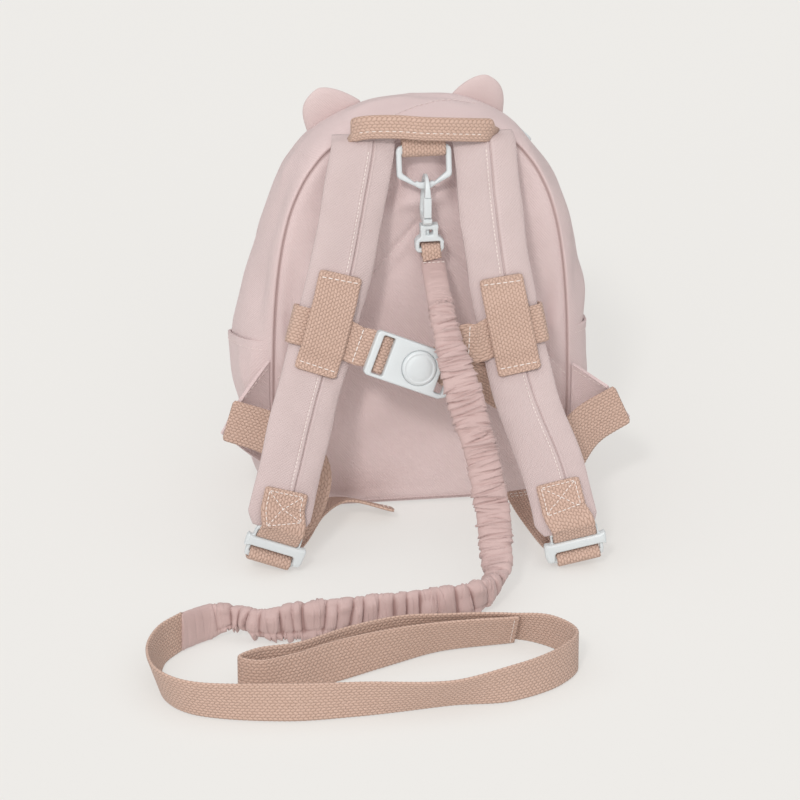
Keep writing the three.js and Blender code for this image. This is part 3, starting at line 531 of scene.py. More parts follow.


# strapTwill, bodyTwill and earTwill are one pink twill. Their colours differ only as painted light and shade:
# the straps' and the ears' copies are darker to offset the extra light they catch, and the body's is lighter
# to lift the shade on the panel and gussets.
pinkCloth = {
    "strapTwill": {
        "light": (0.580, 0.472, 0.464), "shade": (0.555, 0.446, 0.438), "fleck": (0.505, 0.394, 0.384),
        "pitch": 0.0017, "slant": 1.0, "broad": 20.0, "sheen": 0.12, "bump": 0.75,
    },
    "bodyTwill": {
        "light": (0.700, 0.562, 0.556), "shade": (0.670, 0.530, 0.525), "fleck": (0.620, 0.478, 0.472),
        "pitch": 0.0015, "slant": 0.8, "broad": 12.0, "sheen": 0.10, "bump": 0.7,
        # painted shade colour for the dark line along the seams
        "paintedShade": (0.46, 0.33, 0.32),
    },
    "earTwill": {
        "light": (0.630, 0.512, 0.502), "shade": (0.605, 0.486, 0.475), "fleck": (0.555, 0.436, 0.424),
        "pitch": 0.0015, "slant": 1.0, "broad": 20.0, "sheen": 0.12, "bump": 0.4,
    },
    "sleeveCotton": {
        "light": (0.553, 0.407, 0.388), "shade": (0.522, 0.376, 0.358), "fleck": (0.466, 0.327, 0.314),
        "pitch": 0.0006, "slant": 0.9, "broad": 30.0, "sheen": 0.15, "bump": 0.15,
        # painted shade colour for the sleeve's creases
        "paintedShade": (0.35, 0.225, 0.21),
    },
    "zipTapeCloth": {
        "light": (0.660, 0.530, 0.520), "shade": (0.620, 0.490, 0.480), "fleck": (0.560, 0.420, 0.410),
        "pitch": 0.0007, "slant": 0.0, "broad": 20.0, "sheen": 0.05, "bump": 0.5,
    },
}
strapTwill, bodyTwill, earTwill, sleeveCotton, zipTapeCloth = (
    clothMaterial(name) for name in pinkCloth
)

tanCotton = {
    "light": (0.595, 0.416, 0.340), "shade": (0.545, 0.374, 0.300), "gap": (0.425, 0.276, 0.212),
    "long": 0.0027, "high": 0.0018, "lean": 0.3, "bump": 0.75, "deep": 0.0008, "broad": 25.0, "fine": 420.0,
    "dyeSpan": (0.3, 0.7), "gapSpan": (0.45, 1.05), "roughSpan": (-1.5, 1.6),
    "sheen": 0.12, "sheenRough": 0.5, "gloss": 0.2,
}


def webbingMaterial():
    material, tree, shader = newMaterial("tanWebbing")
    woven, solid = places(tree)
    yarns = {"Long": tanCotton["long"], "High": tanCotton["high"], "Lean": tanCotton["lean"]}
    weave = placeGroup(tree, webbingWeave, woven, yarns)
    mottle = mottled(tree, solid, tanCotton)
    dye = ramp(tree, mottle["Fine"], tanCotton["dyeSpan"])
    base = mixColour(tree, dye, tanCotton["shade"], tanCotton["light"])
    tone = mixColour(tree, ramp(tree, weave["Gap"], tanCotton["gapSpan"]), base, tanCotton["gap"])
    return shadeWith(material, shader, tanCotton, tone, mottle["Broad"], weave["Height"])


tanWebbing = webbingMaterial()

moulding = {
    "light": (0.635, 0.668, 0.680), "shade": (0.612, 0.646, 0.660), "broad": 40.0, "fine": 700.0,
    "dyeSpan": (0.3, 0.7), "roughSpan": (-0.4, 1.9), "bump": 0.08, "deep": 0.0002,
    "sockets": {
        "IOR": 1.49, "Subsurface Weight": 0.06, "Subsurface Radius": (0.004, 0.004, 0.004),
        "Subsurface Scale": 0.5,
    },
}


def plasticMaterial():
    material, tree, shader = newMaterial("whitePlastic")
    _, solid = places(tree)
    mottle = mottled(tree, solid, moulding)
    dye = ramp(tree, mottle["Broad"], moulding["dyeSpan"])
    tone = mixColour(tree, dye, moulding["shade"], moulding["light"])
    setSockets(shader, moulding["sockets"])
    return shadeWith(material, shader, moulding, tone, mottle["Fine"], mottle["Fine"])


whitePlastic = plasticMaterial()

spunThread = {
    "broad": 300.0, "fine": 2500.0, "dyeSpan": (0.35, 0.65), "roughSpan": (-0.8, 1.3), "bump": 0.4,
    "deep": 0.0002,
}


def threadMaterial(name, light, shade):
    material, tree, shader = newMaterial(name)
    _, solid = places(tree)
    mottle = mottled(tree, solid, spunThread)
    tone = mixColour(tree, ramp(tree, mottle["Fine"], spunThread["dyeSpan"]), shade, light)
    return shadeWith(material, shader, spunThread, tone, mottle["Broad"], mottle["Fine"])


whiteThread = threadMaterial("whiteThread", (0.86, 0.79, 0.75), (0.78, 0.70, 0.66))
pinkThread = threadMaterial("pinkThread", (0.80, 0.69, 0.67), (0.72, 0.60, 0.58))


def floorMaterial():
    material, tree, shader = newMaterial("paleFloor")
    _, solid = places(tree)
    mottle = placeGroup(tree, clothMottle, solid, {"Broad": studio["floorBroad"]})
    shade = tuple(studio["floorShade"] * c for c in studio["floorColour"])
    tone = mixColour(tree, mottle["Broad"], shade, studio["floorColour"])
    tree.links.new(tone, shader.inputs["Base Color"])
    setSockets(shader, {"Roughness": studio["floorRough"], "Specular IOR Level": studio["floorGloss"]})
    shader.inputs["Emission Color"].default_value = (*studio["floorColour"], 1)
    shader.inputs["Emission Strength"].default_value = studio["floorGlow"]
    return material


half = studio["floorSize"] / 2 / mm
corners = [(x * half, y * half, 0) for x, y in ((-1, -1), (1, -1), (1, 1), (-1, 1))]
floor = addMesh("floor", corners, [(0, 1, 2, 3)])
floor.data.materials.append(floorMaterial())
print("materials made")


# finished pieces by what they are made of

def bodyCloth(obj, node):
    # the body pieces take the lighter copy of the twill, painted light lifting the shade on the panel and
    # gussets
    return finishPiece(obj, bodyTwill, [node])


def webbingBand(name, node, frames, width, thick, **shape):
    return finishPiece(bandPiece(name, frames, width, thick, **shape), tanWebbing, [node])


def moulded(obj, *nodes, edges="plate", body="bag"):
    obj.data.set_sharp_from_angle(angle=math.radians(sharp[edges]))
    return finishPiece(obj, whitePlastic, nodes, body)


# the rein: gathered sleeve from the hook, then webbing that ends in a hand loop

reinSleeve = {
    # x, y, z, width, thickness, upright, all lengths in metres
    "route": [
        (0.0043, -0.063, 0.1562, 0.0140, 0.0054, 0), (0.0040, -0.083, 0.1475, 0.0140, 0.0065, 0),
        (0.0052, -0.106, 0.1325, 0.0148, 0.0070, 0), (0.0133, -0.127, 0.0983, 0.0206, 0.0075, 0),
        (0.0192, -0.144, 0.0745, 0.0188, 0.0075, 0), (0.0233, -0.157, 0.0493, 0.0192, 0.0075, 0.05),
        (0.0243, -0.170, 0.0273, 0.0182, 0.0075, 0.15), (0.0218, -0.186, 0.0145, 0.0165, 0.0078, 0.5),
        (0.0095, -0.203, 0.0118, 0.0200, 0.0080, 0.9), (-0.0200, -0.212, 0.0118, 0.0220, 0.0080, 1),
        (-0.0520, -0.216, 0.0118, 0.0220, 0.0080, 1), (-0.0920, -0.220, 0.0118, 0.0220, 0.0080, 1),
        (-0.1130, -0.220, 0.0112, 0.0175, 0.0075, 1), (-0.1260, -0.212, 0.0126, 0.0135, 0.0080, 1),
        (-0.1410, -0.213, 0.0113, 0.0210, 0.0070, 1), (-0.1590, -0.226, 0.0122, 0.0226, 0.0060, 1),
    ],
    "width": 0.021,
    "step": 0.33,
    "plainTop": 20,
    "plainCuff": 20,
    "pitch": (3.5, 7.6),  # crease to crease, hung and on the floor
    "depth": (1.2, 4.0),
    "fine": 0.6,
    "frill": 3.4,
    "lapPitch": (2.3, 4.0),
    "lapHigh": 1.6,
    "seed": 31,
    "turns": 60,
    "lowest": 0.25,
    "topEase": (14, 0.12),  # distance over which the gathers grow, and their least share
    "cuffEase": (10, 0.1),
    "hem": {"at": 2.4, "half": 6.4, "out": 2.9},
}


def creaseFolds(seed, run, place, over, pitch, plump=0):  # pleats between creases set at uneven distances
    rng = np.random.default_rng(seed)
    at = [-9.0]
    while at[-1] < run[-1] + 12:
        at.append(at[-1] + np.interp(at[-1], run, pitch) * rng.uniform(0.4, 1.6))
    at = np.array(at)
    k = np.clip(np.searchsorted(at, place) - 1, 0, len(at) - 2)
    share = (place - at[k]) / (at[1:] - at[:-1])[k]
    share = np.where((rng.random(len(at)) < 0.75)[k], share, 1 - share)
    rise = np.clip(share / 0.2, 0, 1)
    lapping = np.sin(np.pi / 2 * rise) ** 0.8 * (1 - 0.5 * share**1.6)
    rounded = np.clip(1 - np.abs(2 * share - 0.9) ** 2.2, 0, 1) ** 0.6
    middle, wide = rng.uniform(-1.1, 1.1, len(at))[k], rng.uniform(0.7, 1.8, len(at))[k]
    reach = np.clip(1.25 - np.abs(over - middle) / wide, 0.3 + 0.3 * plump, 1)
    return (lapping + plump * (rounded - lapping)) * reach


def lapCreases(seed, run, over, pitch):  # sharp creases part of the way across, one pleat lapping the next
    rng = np.random.default_rng(seed)
    total = np.zeros((len(run), len(over)))
    at = 0.0
    while at < run[-1]:
        at += np.interp(at, run, pitch) * rng.uniform(0.45, 1.55)
        tilt, bow, way = rng.uniform(-2.4, 2.4), rng.uniform(-1.2, 1.2), rng.choice([1, 1, 1, -1])
        middle, wide, high = rng.uniform(-1.1, 1.1), rng.uniform(0.5, 1.4), rng.uniform(0.55, 1.2)
        near = np.abs(run - at) < 12
        d = (run[near][:, None] - at - tilt * over - bow * over**2) * way
        shape = np.where(d < 0, np.exp(d / 2.2), -0.8 * np.exp(-d / 0.8))
        total[near] += high * shape * np.clip(1.2 - np.abs(over - middle) / wide, 0, 1)
    return total


def gathers(s, turn, floorShare):  # cloth bunched by the elastic inside
    over, front = np.cos(turn)[None] + 0 * s, np.sin(turn)[None] + 0 * s
    run, lying, seed = s[:, 0], floorShare[:, 0], reinSleeve["seed"]
    pitch, lapPitch = (between(reinSleeve[key], lying) for key in ("pitch", "lapPitch"))
    depth = between(reinSleeve["depth"], floorShare)
    tilt = 1.3 * np.sin(s / 23 + 1) + 0.9 * np.sin(s / 9.1)
    wander = 0.35 * wave(12, (over * 10 + s * 0.3, 21.0))
    belly = np.tanh(2.5 * front)
    broad = creaseFolds(seed, run, s + tilt * over + 0.9 * belly + wander, over, pitch, 0.8 * floorShare)
    small = creaseFolds(seed + 1, run, s - 1.2 * tilt * over - 0.7 * belly - wander, over, 0.5 * pitch)
    rim = creaseFolds(seed + 2, run, s + 0.5 * front, over, np.full_like(pitch, 3.2))
    patchy = np.clip(0.5 + 0.6 * wave(14, (s - 5 * over, 23.0)), 0.0, 1.2)
    laps = reinSleeve["lapHigh"] * lapCreases(seed + 3, run, np.cos(turn), lapPitch) * (1 - 0.6 * floorShare)
    low = np.clip((-over - 0.3) / 0.4, 0, 1) * floorShare  # bunched along the lower edge
    high = np.clip((over - 0.5) / 0.5, 0, 1) * floorShare
    edge = np.abs(over) ** 5 * floorShare * np.where(over > 0, 0.3, 1) + 0.7 * low
    main = depth * (broad - 0.5) * (1 - 0.5 * low - 0.5 * high) + reinSleeve["fine"] * patchy * (small - 0.45)
    tuck = 0.9 * floorShare * bump(over, -0.38, 0.09)
    return main + laps + reinSleeve["frill"] * edge * (rim - 0.4) - tuck


def makeSleeve():
    rows = np.array(reinSleeve["route"])
    rows[:, :5] /= mm
    upright = rows[:, 5]
    across = np.stack([1 - upright, 0 * upright, upright], 1)
    f = framesAlong(rows[:, :3], across, reinSleeve["step"], extra=rows[:, 3:5])
    run, total = f["run"], f["run"][-1]
    turn = np.linspace(0, 2 * np.pi, reinSleeve["turns"], endpoint=False) + 0.06
    over, out = np.cos(turn), np.sin(turn)
    s = run[:, None]
    marks = runLength(rows[:, :3])
    floorShare = np.clip(resample(marks, run * marks[-1] / total, upright[:, None]), 0, 1)
    (topReach, topLeast), (cuffReach, cuffLeast) = reinSleeve["topEase"], reinSleeve["cuffEase"]
    loose = np.clip((s - reinSleeve["plainTop"]) / topReach, topLeast, 1)
    loose = loose * np.clip((total - reinSleeve["plainCuff"] - s) / cuffReach, cuffLeast, 1)
    relief = gathers(s, turn, floorShare) * loose
    wide = f["extra"][:, :1] * 0.5 * signedPower(over, 0.75) + relief * signedPower(over, 1.5) * 0.7
    tall = f["extra"][:, 1:] * 0.5 * signedPower(out, 0.9) + relief * signedPower(out, 0.7)
    rings = sweep(f, wide, tall)
    rings[..., 2] = np.maximum(rings[..., 2], reinSleeve["lowest"])
    # the relief also fills the weave's third column, so the sleeve cotton paints shade into the hollows of
    # the gathers
    obj = loftPiece("rein_sleeve_gathered", rings, spread(s, (over * 10)[None], relief))
    sleeve = finishPiece(obj, sleeveCotton, ["rein_sleeve"])
    toward, hem = -np.sign(f["face"][5][1]), reinSleeve["hem"]
    line = np.linspace(-hem["half"], hem["half"], 9)
    path, face = onFrames(f, np.full(9, hem["at"]), line, hem["out"] * toward)
    sewLine("rein_threads", path, face * toward, "sleeveHem")
    print("rein sleeve", round(total), "mm")


makeSleeve()

reinLead = {
    # x and y in metres, lean in degrees
    "route": [
        (-0.1581, -0.2253, 0), (-0.1708, -0.241, -7), (-0.1773, -0.264, -18), (-0.1752, -0.290, 18),
        (-0.161, -0.308, 14), (-0.112, -0.321, 4), (-0.072, -0.322, 12), (-0.024, -0.319, 30),
        (0.012, -0.314, 6), (0.040, -0.297, 0), (0.052, -0.278, 0), (0.0435, -0.2550, 12),
        (0.022, -0.2410, 28), (-0.017, -0.2395, 22), (-0.042, -0.2445, 8), (-0.072, -0.257, 0),
        (-0.100, -0.272, 0), (-0.122, -0.276, 0), (-0.133, -0.2845, 0), (-0.123, -0.291, 0),
        (-0.104, -0.287, -10), (-0.080, -0.2745, -10), (-0.050, -0.262, 4), (-0.017, -0.2500, 22),
        (0.024, -0.2460, 28),
    ],
    "width": 0.023,
    "thick": 2.0,
    "lift": 0.9,
    "step": 0.7,
    "hem": {"fromEnd": 2.6, "margin": 1.5},
}


def makeLead():
    rows = np.array(reinLead["route"])
    flat = np.column_stack([rows[:, :2] / mm, np.zeros(len(rows))])
    lean = np.radians(rows[:, 2])
    width = reinLead["width"] / mm
    dense = smoothPath(flat, curveSteps * (len(flat) - 1) + 1)
    way = unit(np.gradient(dense, axis=0))[::curveSteps]
    side = np.stack([way[:, 1], -way[:, 0], 0 * lean], 1)
    side *= np.where(side[:, 1:2] > 0, -1, 1)
    across = side * np.sin(lean)[:, None] + np.array([0, 0, 1.0]) * np.cos(lean)[:, None]
    flat[:, 2] = width / 2 * np.cos(lean) + reinLead["lift"]
    f = framesAlong(flat, across, reinLead["step"])
    lead = webbingBand("rein_lead", "rein_webbing", f, width, reinLead["thick"], fine=1.0)
    total, hem = f["run"][-1], reinLead["hem"]
    half = width / 2 - hem["margin"]
    path, out = onFrames(f, np.full(9, total - hem["fromEnd"]), np.linspace(-half, half, 9), 0)
    toward = np.sign(-out[:, 1:2])
    sewLine("rein_threads", path + out * toward * reinLead["thick"] / 2, out * toward, "leadHem")
    print("rein lead", round(total), "mm")


makeLead()


# the bag's shell: gussets, crown, panels, base

bag = {
    # half outlines from the base seam up to the crown: back x, z, mid depth x, z, front x, z
    "outline": [
        (66, 0, 74, 0, 68, 0), (80, 6, 88, 7, 81, 6), (86.5, 29, 95.5, 29, 87, 28),
        (87.6, 61, 98, 61, 88, 57), (87.4, 94, 99.5, 93, 87.5, 86), (86.4, 121, 102, 118, 85.5, 110),
        (83.8, 150, 96.5, 143, 82, 134), (79.6, 174, 88.2, 169, 77, 156), (74, 192, 81.2, 187, 71, 171),
        (64.5, 210, 71.2, 204, 61, 186), (51, 224, 57.2, 220, 48, 197), (26, 230.5, 28, 235, 25, 202.5),
        (0, 231.5, 0, 238, 0, 204),
    ],
    "backY": -44,
    "frontY": 44,
    "frontLean": 8,
    "crownZ": 204,
    "swell": 0.75,
    "shoulder": 0.22,
    "cloth": 1.6,
    "seamRoll": 1.45,
    "rollTurns": (150, 115, 80, 50, 25),
    # painted shade along each rolled seam lip, darkest where the lip turns into the seam
    "rollShade": (-2, -1.8, -1.1, -0.5, 0),
    "slackFrom": 0.12,  # share of the depth over which the slack grows from a seam
    "core": (0, 0, 105),
    "shellCore": (0, 0, 100),
}
outlineSteps = 1601
outline = vec(bag["outline"])
outlineShare = np.linspace(0, 1, outlineSteps)
backLine, midLine, frontLine = (smoothPath(outline[:, [k, k + 1]], outlineSteps) for k in (0, 2, 4))


def bagPoint(around, across):  # around -1 left base, 0 crown, 1 right base; across 0 back seam, 1 front seam
    around, across = np.broadcast_arrays(np.asarray(around, float), np.asarray(across, float))
    t = 1 - np.minimum(1, np.abs(around))
    back, mid, front = (resample(outlineShare, t.ravel(), line) for line in (backLine, midLine, frontLine))
    back, mid, front = (line.reshape(*t.shape, 2) for line in (back, mid, front))
    swell = np.maximum(0, np.sin(np.pi * across)) ** bag["swell"]
    xz = between((back, front), across[..., None]) + (mid - (back + front) / 2) * swell[..., None]
    frontEdge = bag["frontY"] - bag["frontLean"] * (front[..., 1] / bag["crownZ"]) ** 2
    y = between((bag["backY"], frontEdge), across)
    return np.stack([xz[..., 0] * np.where(around < 0, -1, 1), y, xz[..., 1]], -1)


def bagNormal(around, across):
    d = 0.004
    t = np.clip(across, 0.02, 0.98)
    a = np.clip(around, -1 + d, 1 - d)
    n = unit(np.cross(bagPoint(a + d, t) - bagPoint(a - d, t), bagPoint(a, t + d) - bagPoint(a, t - d)))
    out = bagPoint(a, t) - vec(bag["core"])
    return n * np.where((n * out).sum(-1, keepdims=True) < 0, -1, 1)


def bagSag(p):  # slack in the cloth, by place on the bag
    x, y, z = p[..., 0], p[..., 1], p[..., 2]
    slack = 0.55 * np.sin(0.047 * z + 0.05 * y + 0.8) * np.sin(0.06 * y - 0.021 * z + 1.1 + 0.02 * x)
    slack += 0.35 * np.sin(0.105 * z - 0.085 * y + 0.4 * np.sin(0.05 * x))
    slack += 0.25 * np.sin(0.19 * z + 0.13 * y + 0.05 * x)
    return slack * np.clip(z / 25, 0.15, 1)


shellTrim = {  # how the stuffed sides stand off the plain outline, height and distance
    -1: [
        (30, 0), (48, 1.0), (58, 2.4), (68, 3.5), (77, 4.2), (87, 4.0), (97, 3.1), (105, 1.0), (115, -1.8),
        (124, -3.4), (134, -3.8), (143, -3.5), (153, -3.1), (162, -2.5), (172, -2.1), (182, -2.1),
        (191, -1.6), (201, 0), (215, 0),
    ],
    1: [
        (30, 0), (48, 1.0), (58, 2.5), (68, 3.2), (77, 2.8), (87, 1.8), (97, 0.8), (105, 0.4), (115, -0.6),
        (124, -1.9), (134, -2.4), (143, -1.3), (153, 0), (162, 0.8), (172, 0.9), (182, 0.5), (191, -0.3),
        (201, -1.1), (212, -1.0), (226, 0),
    ],
}
shellTrim = {side: smoothPath(rows, 400) for side, rows in shellTrim.items()}
shellFolds = [
    {"at": (-92, -18, 92), "way": (0.1, 0.5, 1), "reach": 26, "wide": 6, "high": 1.6},
    {"at": (-88, 8, 150), "way": (0.3, -0.5, 1), "reach": 26, "wide": 7, "high": -1.4},
    {"at": (92, -10, 132), "way": (-0.2, 0.6, 1), "reach": 24, "wide": 6, "high": 1.5},
    {"at": (88, 12, 160), "way": (-0.3, -0.4, 1), "reach": 22, "wide": 6, "high": -1.3},
    {"at": (-22, -20, 237), "way": (1, 0.25, 0.15), "reach": 18, "wide": 5, "high": 1.3},
    {"at": (16, -16, 238), "way": (1, -0.2, 0), "reach": 20, "wide": 5, "high": -1.2},
    {"at": (-70, -20, 205), "way": (0.7, 0.2, 0.6), "reach": 24, "wide": 6, "high": 1.2},
    {"at": (72, -18, 203), "way": (-0.7, 0.2, 0.6), "reach": 24, "wide": 9, "high": -0.5},
    {"at": (-95, 15, 40), "way": (0, 1, 0.3), "reach": 26, "wide": 7, "high": -1.3},
    {"at": (95, 10, 45), "way": (0, 1, -0.3), "reach": 26, "wide": 7, "high": 1.2},
]


def foldShape(fold, along, off):  # long and even along the crease, round across it
    return np.exp(-((along / fold["reach"]) ** 4) - (off / fold["wide"]) ** 2)


def bagFolds(p):  # the stuffed sides and the main creases
    x, z = p[..., 0], p[..., 2]
    left, right = (np.interp(z, *shellTrim[side].T) for side in (-1, 1))
    total = np.where(x < 0, left, right) * np.clip((np.abs(x) - 40) / 30, 0, 1)
    for fold in shellFolds:
        rel = p - vec(fold["at"])
        way = unit(vec(fold["way"]))
        along = rel @ way
        off = np.linalg.norm(rel - along[..., None] * way, axis=-1)
        total = total + fold["high"] * foldShape(fold, along, off)
    return total


def slack(place):
    return bagSag(place) + bagFolds(place)


def slackAt(place, across):  # slack that grows from the seams inward
    return slack(place) * np.clip(np.minimum(across, 1 - across) / bag["slackFrom"], 0, 1)


def fixed(value):
    return lambda around: np.full(np.shape(around), float(value))


def seamLip(edge, n, off, turns):  # cloth rolled inward at a seam
    off = unit(off)
    off = unit(off - (off * n).sum(1, keepdims=True) * n)
    r = bag["seamRoll"]
    return np.stack([edge - r * n + r * (np.cos(t) * n + np.sin(t) * off) for t in turns], 1)


def shellPiece(name, node, around, near, far, columns, rolled, lapHigh=0):  # rolled: edges that end in a seam
    across = between((near(around)[:, None], far(around)[:, None]), np.linspace(0, 1, columns))
    a = np.broadcast_to(around[:, None], across.shape)
    place, normal = bagPoint(a, across), bagNormal(a, across)
    lap = np.clip((bag["shoulder"] + 0.02 - np.abs(a)) / 0.01, 0, 1) * lapHigh
    place = place + normal * (slackAt(place, across) + lap)[..., None]
    grid, paintedSeamShade = [place], [np.zeros(columns)]
    # the lip rows carry painted seam shade in the weave's third column
    turns, shade = np.radians(bag["rollTurns"]), vec(bag["rollShade"])
    if "near" in rolled:
        lip = seamLip(place[:, 0], normal[:, 0], place[:, 0] - place[:, 1], turns)
        grid, paintedSeamShade = [lip, *grid], [shade, *paintedSeamShade]
    if "far" in rolled:
        lip = seamLip(place[:, -1], normal[:, -1], place[:, -1] - place[:, -2], turns[::-1])
        grid, paintedSeamShade = [*grid, lip], [*paintedSeamShade, shade[::-1]]
    grid, paintedSeamShade = np.concatenate(grid, 1), np.concatenate(paintedSeamShade)
    long, wide = runLength(grid[:, grid.shape[1] // 2]), runLength(grid[len(grid) // 2])
    weave = spread(long[:, None], wide[None], paintedSeamShade[None])
    return bodyCloth(sheetPiece(name, grid, bag["cloth"], unit(grid - vec(bag["shellCore"])), weave), node)


for name, side in sides.items():
    around = side * np.linspace(1, bag["shoulder"], 110)
    shellPiece(f"gusset_{name}", f"side_gusset_{name}", around, fixed(0), fixed(1), 44, ("near", "far"))

zipLine = {
    "across": 0.73, "open": 0.085, "shut": 0.003, "reach": 0.17, "tape": 0.055, "tapeLap": 0.012,
    "tapeThick": 0.9, "tapeDrop": 0.7, "crownLap": 0.008, "crownHigh": 0.07, "teeth": 1.5, "teethDrop": 0.3,
    "toothSpan": (-1.3, 0.9),
}


def zipEdge(way, off=0.0):  # edge of the opening, behind (-1) or in front (1)
    def across(around):
        share = np.minimum(1, np.abs(around) / zipLine["reach"])
        gape = zipLine["shut"] + zipLine["open"] * np.cos(np.pi / 2 * share) ** 1.2
        return zipLine["across"] + way * (gape + off)

    return across


crownReach = bag["shoulder"] + zipLine["crownLap"]  # laps over the gussets
crownSpan = np.linspace(-crownReach, crownReach, 130)
tape, tapeFar = zipLine["tape"], zipLine["tape"] + zipLine["tapeLap"]
crownHigh = zipLine["crownHigh"]
shellPiece("crown_rear_strip", "crown_back", crownSpan, fixed(0), zipEdge(-1, tape), 34, ["near"], crownHigh)
shellPiece("crown_fore_strip", "crown_front", crownSpan, zipEdge(1, tape), fixed(1), 14, ["far"], crownHigh)


def zipTape(name, node, near, far):
    share = np.linspace(0, 1, 5)
    across = between((near(crownSpan)[:, None], far(crownSpan)[:, None]), share)
    a = np.broadcast_to(crownSpan[:, None], across.shape)
    place, normal = bagPoint(a, across), bagNormal(a, across)
    grid = place + normal * (slack(place) - zipLine["tapeDrop"])[..., None]
    weave = spread(runLength(grid[:, 2])[:, None], share[None] * 5)
    obj = sheetPiece(name, grid, zipLine["tapeThick"], normal, weave)
    return finishPiece(obj, zipTapeCloth, [node])


zipTape("zip_tape_rear", "zip_tape_back", zipEdge(-1, tapeFar), zipEdge(-1))
zipTape("zip_tape_fore", "zip_tape_front", zipEdge(1), zipEdge(1, tapeFar))


def zipTeeth():
    reachEnd = bag["shoulder"] - 0.006
    a = np.linspace(-reachEnd, reachEnd, 400)
    tooth = np.linspace(*zipLine["toothSpan"], 6)[:, None]
    for way in (-1, 1):
        across = zipEdge(way)(a)
        p, n = bagPoint(a, across), bagNormal(a, across)
        p = p + n * (slack(p) - zipLine["teethDrop"])[:, None]
        run = runLength(p)
        for s in np.arange(1, run[-1], zipLine["teeth"]):
            before, middle, after = resample(run, np.array([s - 0.5, s, s + 0.5]), p)
            out = unit(resample(run, np.array([s]), n))[0]
            reach = np.cross(out, unit(after - before))
            reach = reach if reach[1] * way < 0 else -reach
            sewLine("zip_teeth", tooth * reach + middle, out, "zipTooth")


zipTeeth()
makeThreads("zip_teeth", pinkThread)


# back panel, a soft pad with a stitched chevron

backPad = {
    "face": -45.2,
    "belly": 2.2,
    "inset": 2.0,
    "middle": (0, 100),
    "roll": 1.2,
    "sink": 2.6,
    "thick": 2.6,
    "settle": {
        "half": 92, "foot": -4, "top": 236, "cell": 4, "strapTops": 186,
        "pressure": 3.0, "slack": 0.006, "quality": 8, "frames": 20, "cap": 4.5,
    },
    "apex": (-1.7, 176),
    "armLeft": (-86, 81),
    "armRight": (87.5, 74),
    "groove": 1.1,
    "bow": (86, 120),  # reach of the belly sideways and upward
    "seamDrop": 1.5,
    "foldGain": 3.4,
}
padFolds = [
    {"at": (-66, 128), "way": (0.15, 1), "reach": 26, "wide": 5.5, "high": 1.5},
    {"at": (-74, 104), "way": (-0.1, 1), "reach": 20, "wide": 4.5, "high": -1.1},
    {"at": (62, 120), "way": (-0.3, 1), "reach": 24, "wide": 5.0, "high": 1.3},
    {"at": (72, 108), "way": (0.2, 1), "reach": 22, "wide": 5.0, "high": -1.2},
    {"at": (0, 190), "way": (1, 0.1), "reach": 16, "wide": 6.0, "high": 1.5},
    {"at": (-16, 196), "way": (0.6, 1), "reach": 16, "wide": 5.0, "high": -1.5},
    {"at": (18, 200), "way": (-0.4, 1), "reach": 16, "wide": 5.0, "high": -1.3},
    {"at": (-30, 60), "way": (0.8, 0.5), "reach": 40, "wide": 12, "high": 0.8},
    {"at": (40, 40), "way": (0.9, -0.2), "reach": 36, "wide": 11, "high": -0.8},
]


def rimLoop(across, inset, count):  # closed loop just inside the seam
    foot = float(bagPoint(1, across)[0]) - inset
    a = np.linspace(1, -1, 900)
    n = bagNormal(a, np.full_like(a, across))
    n[:, 1] = 0
    side = bagPoint(a, across) - unit(n) * inset
    side[:, 2] = np.maximum(side[:, 2], inset)
    loop = np.vstack([np.array([[x, 0, inset] for x in np.linspace(-foot, foot, 120)]), side[1:]])
    loop[:, 1] = 0
    run = runLength(loop)
    return resample(run, np.linspace(0, run[-1], count, endpoint=False), loop)


def segmentGap(x, z, a, b):
    a, b = vec(a), vec(b)
    d = b - a
    t = np.clip(((x - a[0]) * d[0] + (z - a[1]) * d[1]) / (d @ d), 0, 1)
    return np.hypot(x - a[0] - t * d[0], z - a[1] - t * d[1])


def chevronGap(x, z):
    return np.minimum(*(segmentGap(x, z, backPad["apex"], backPad[arm]) for arm in ("armLeft", "armRight")))


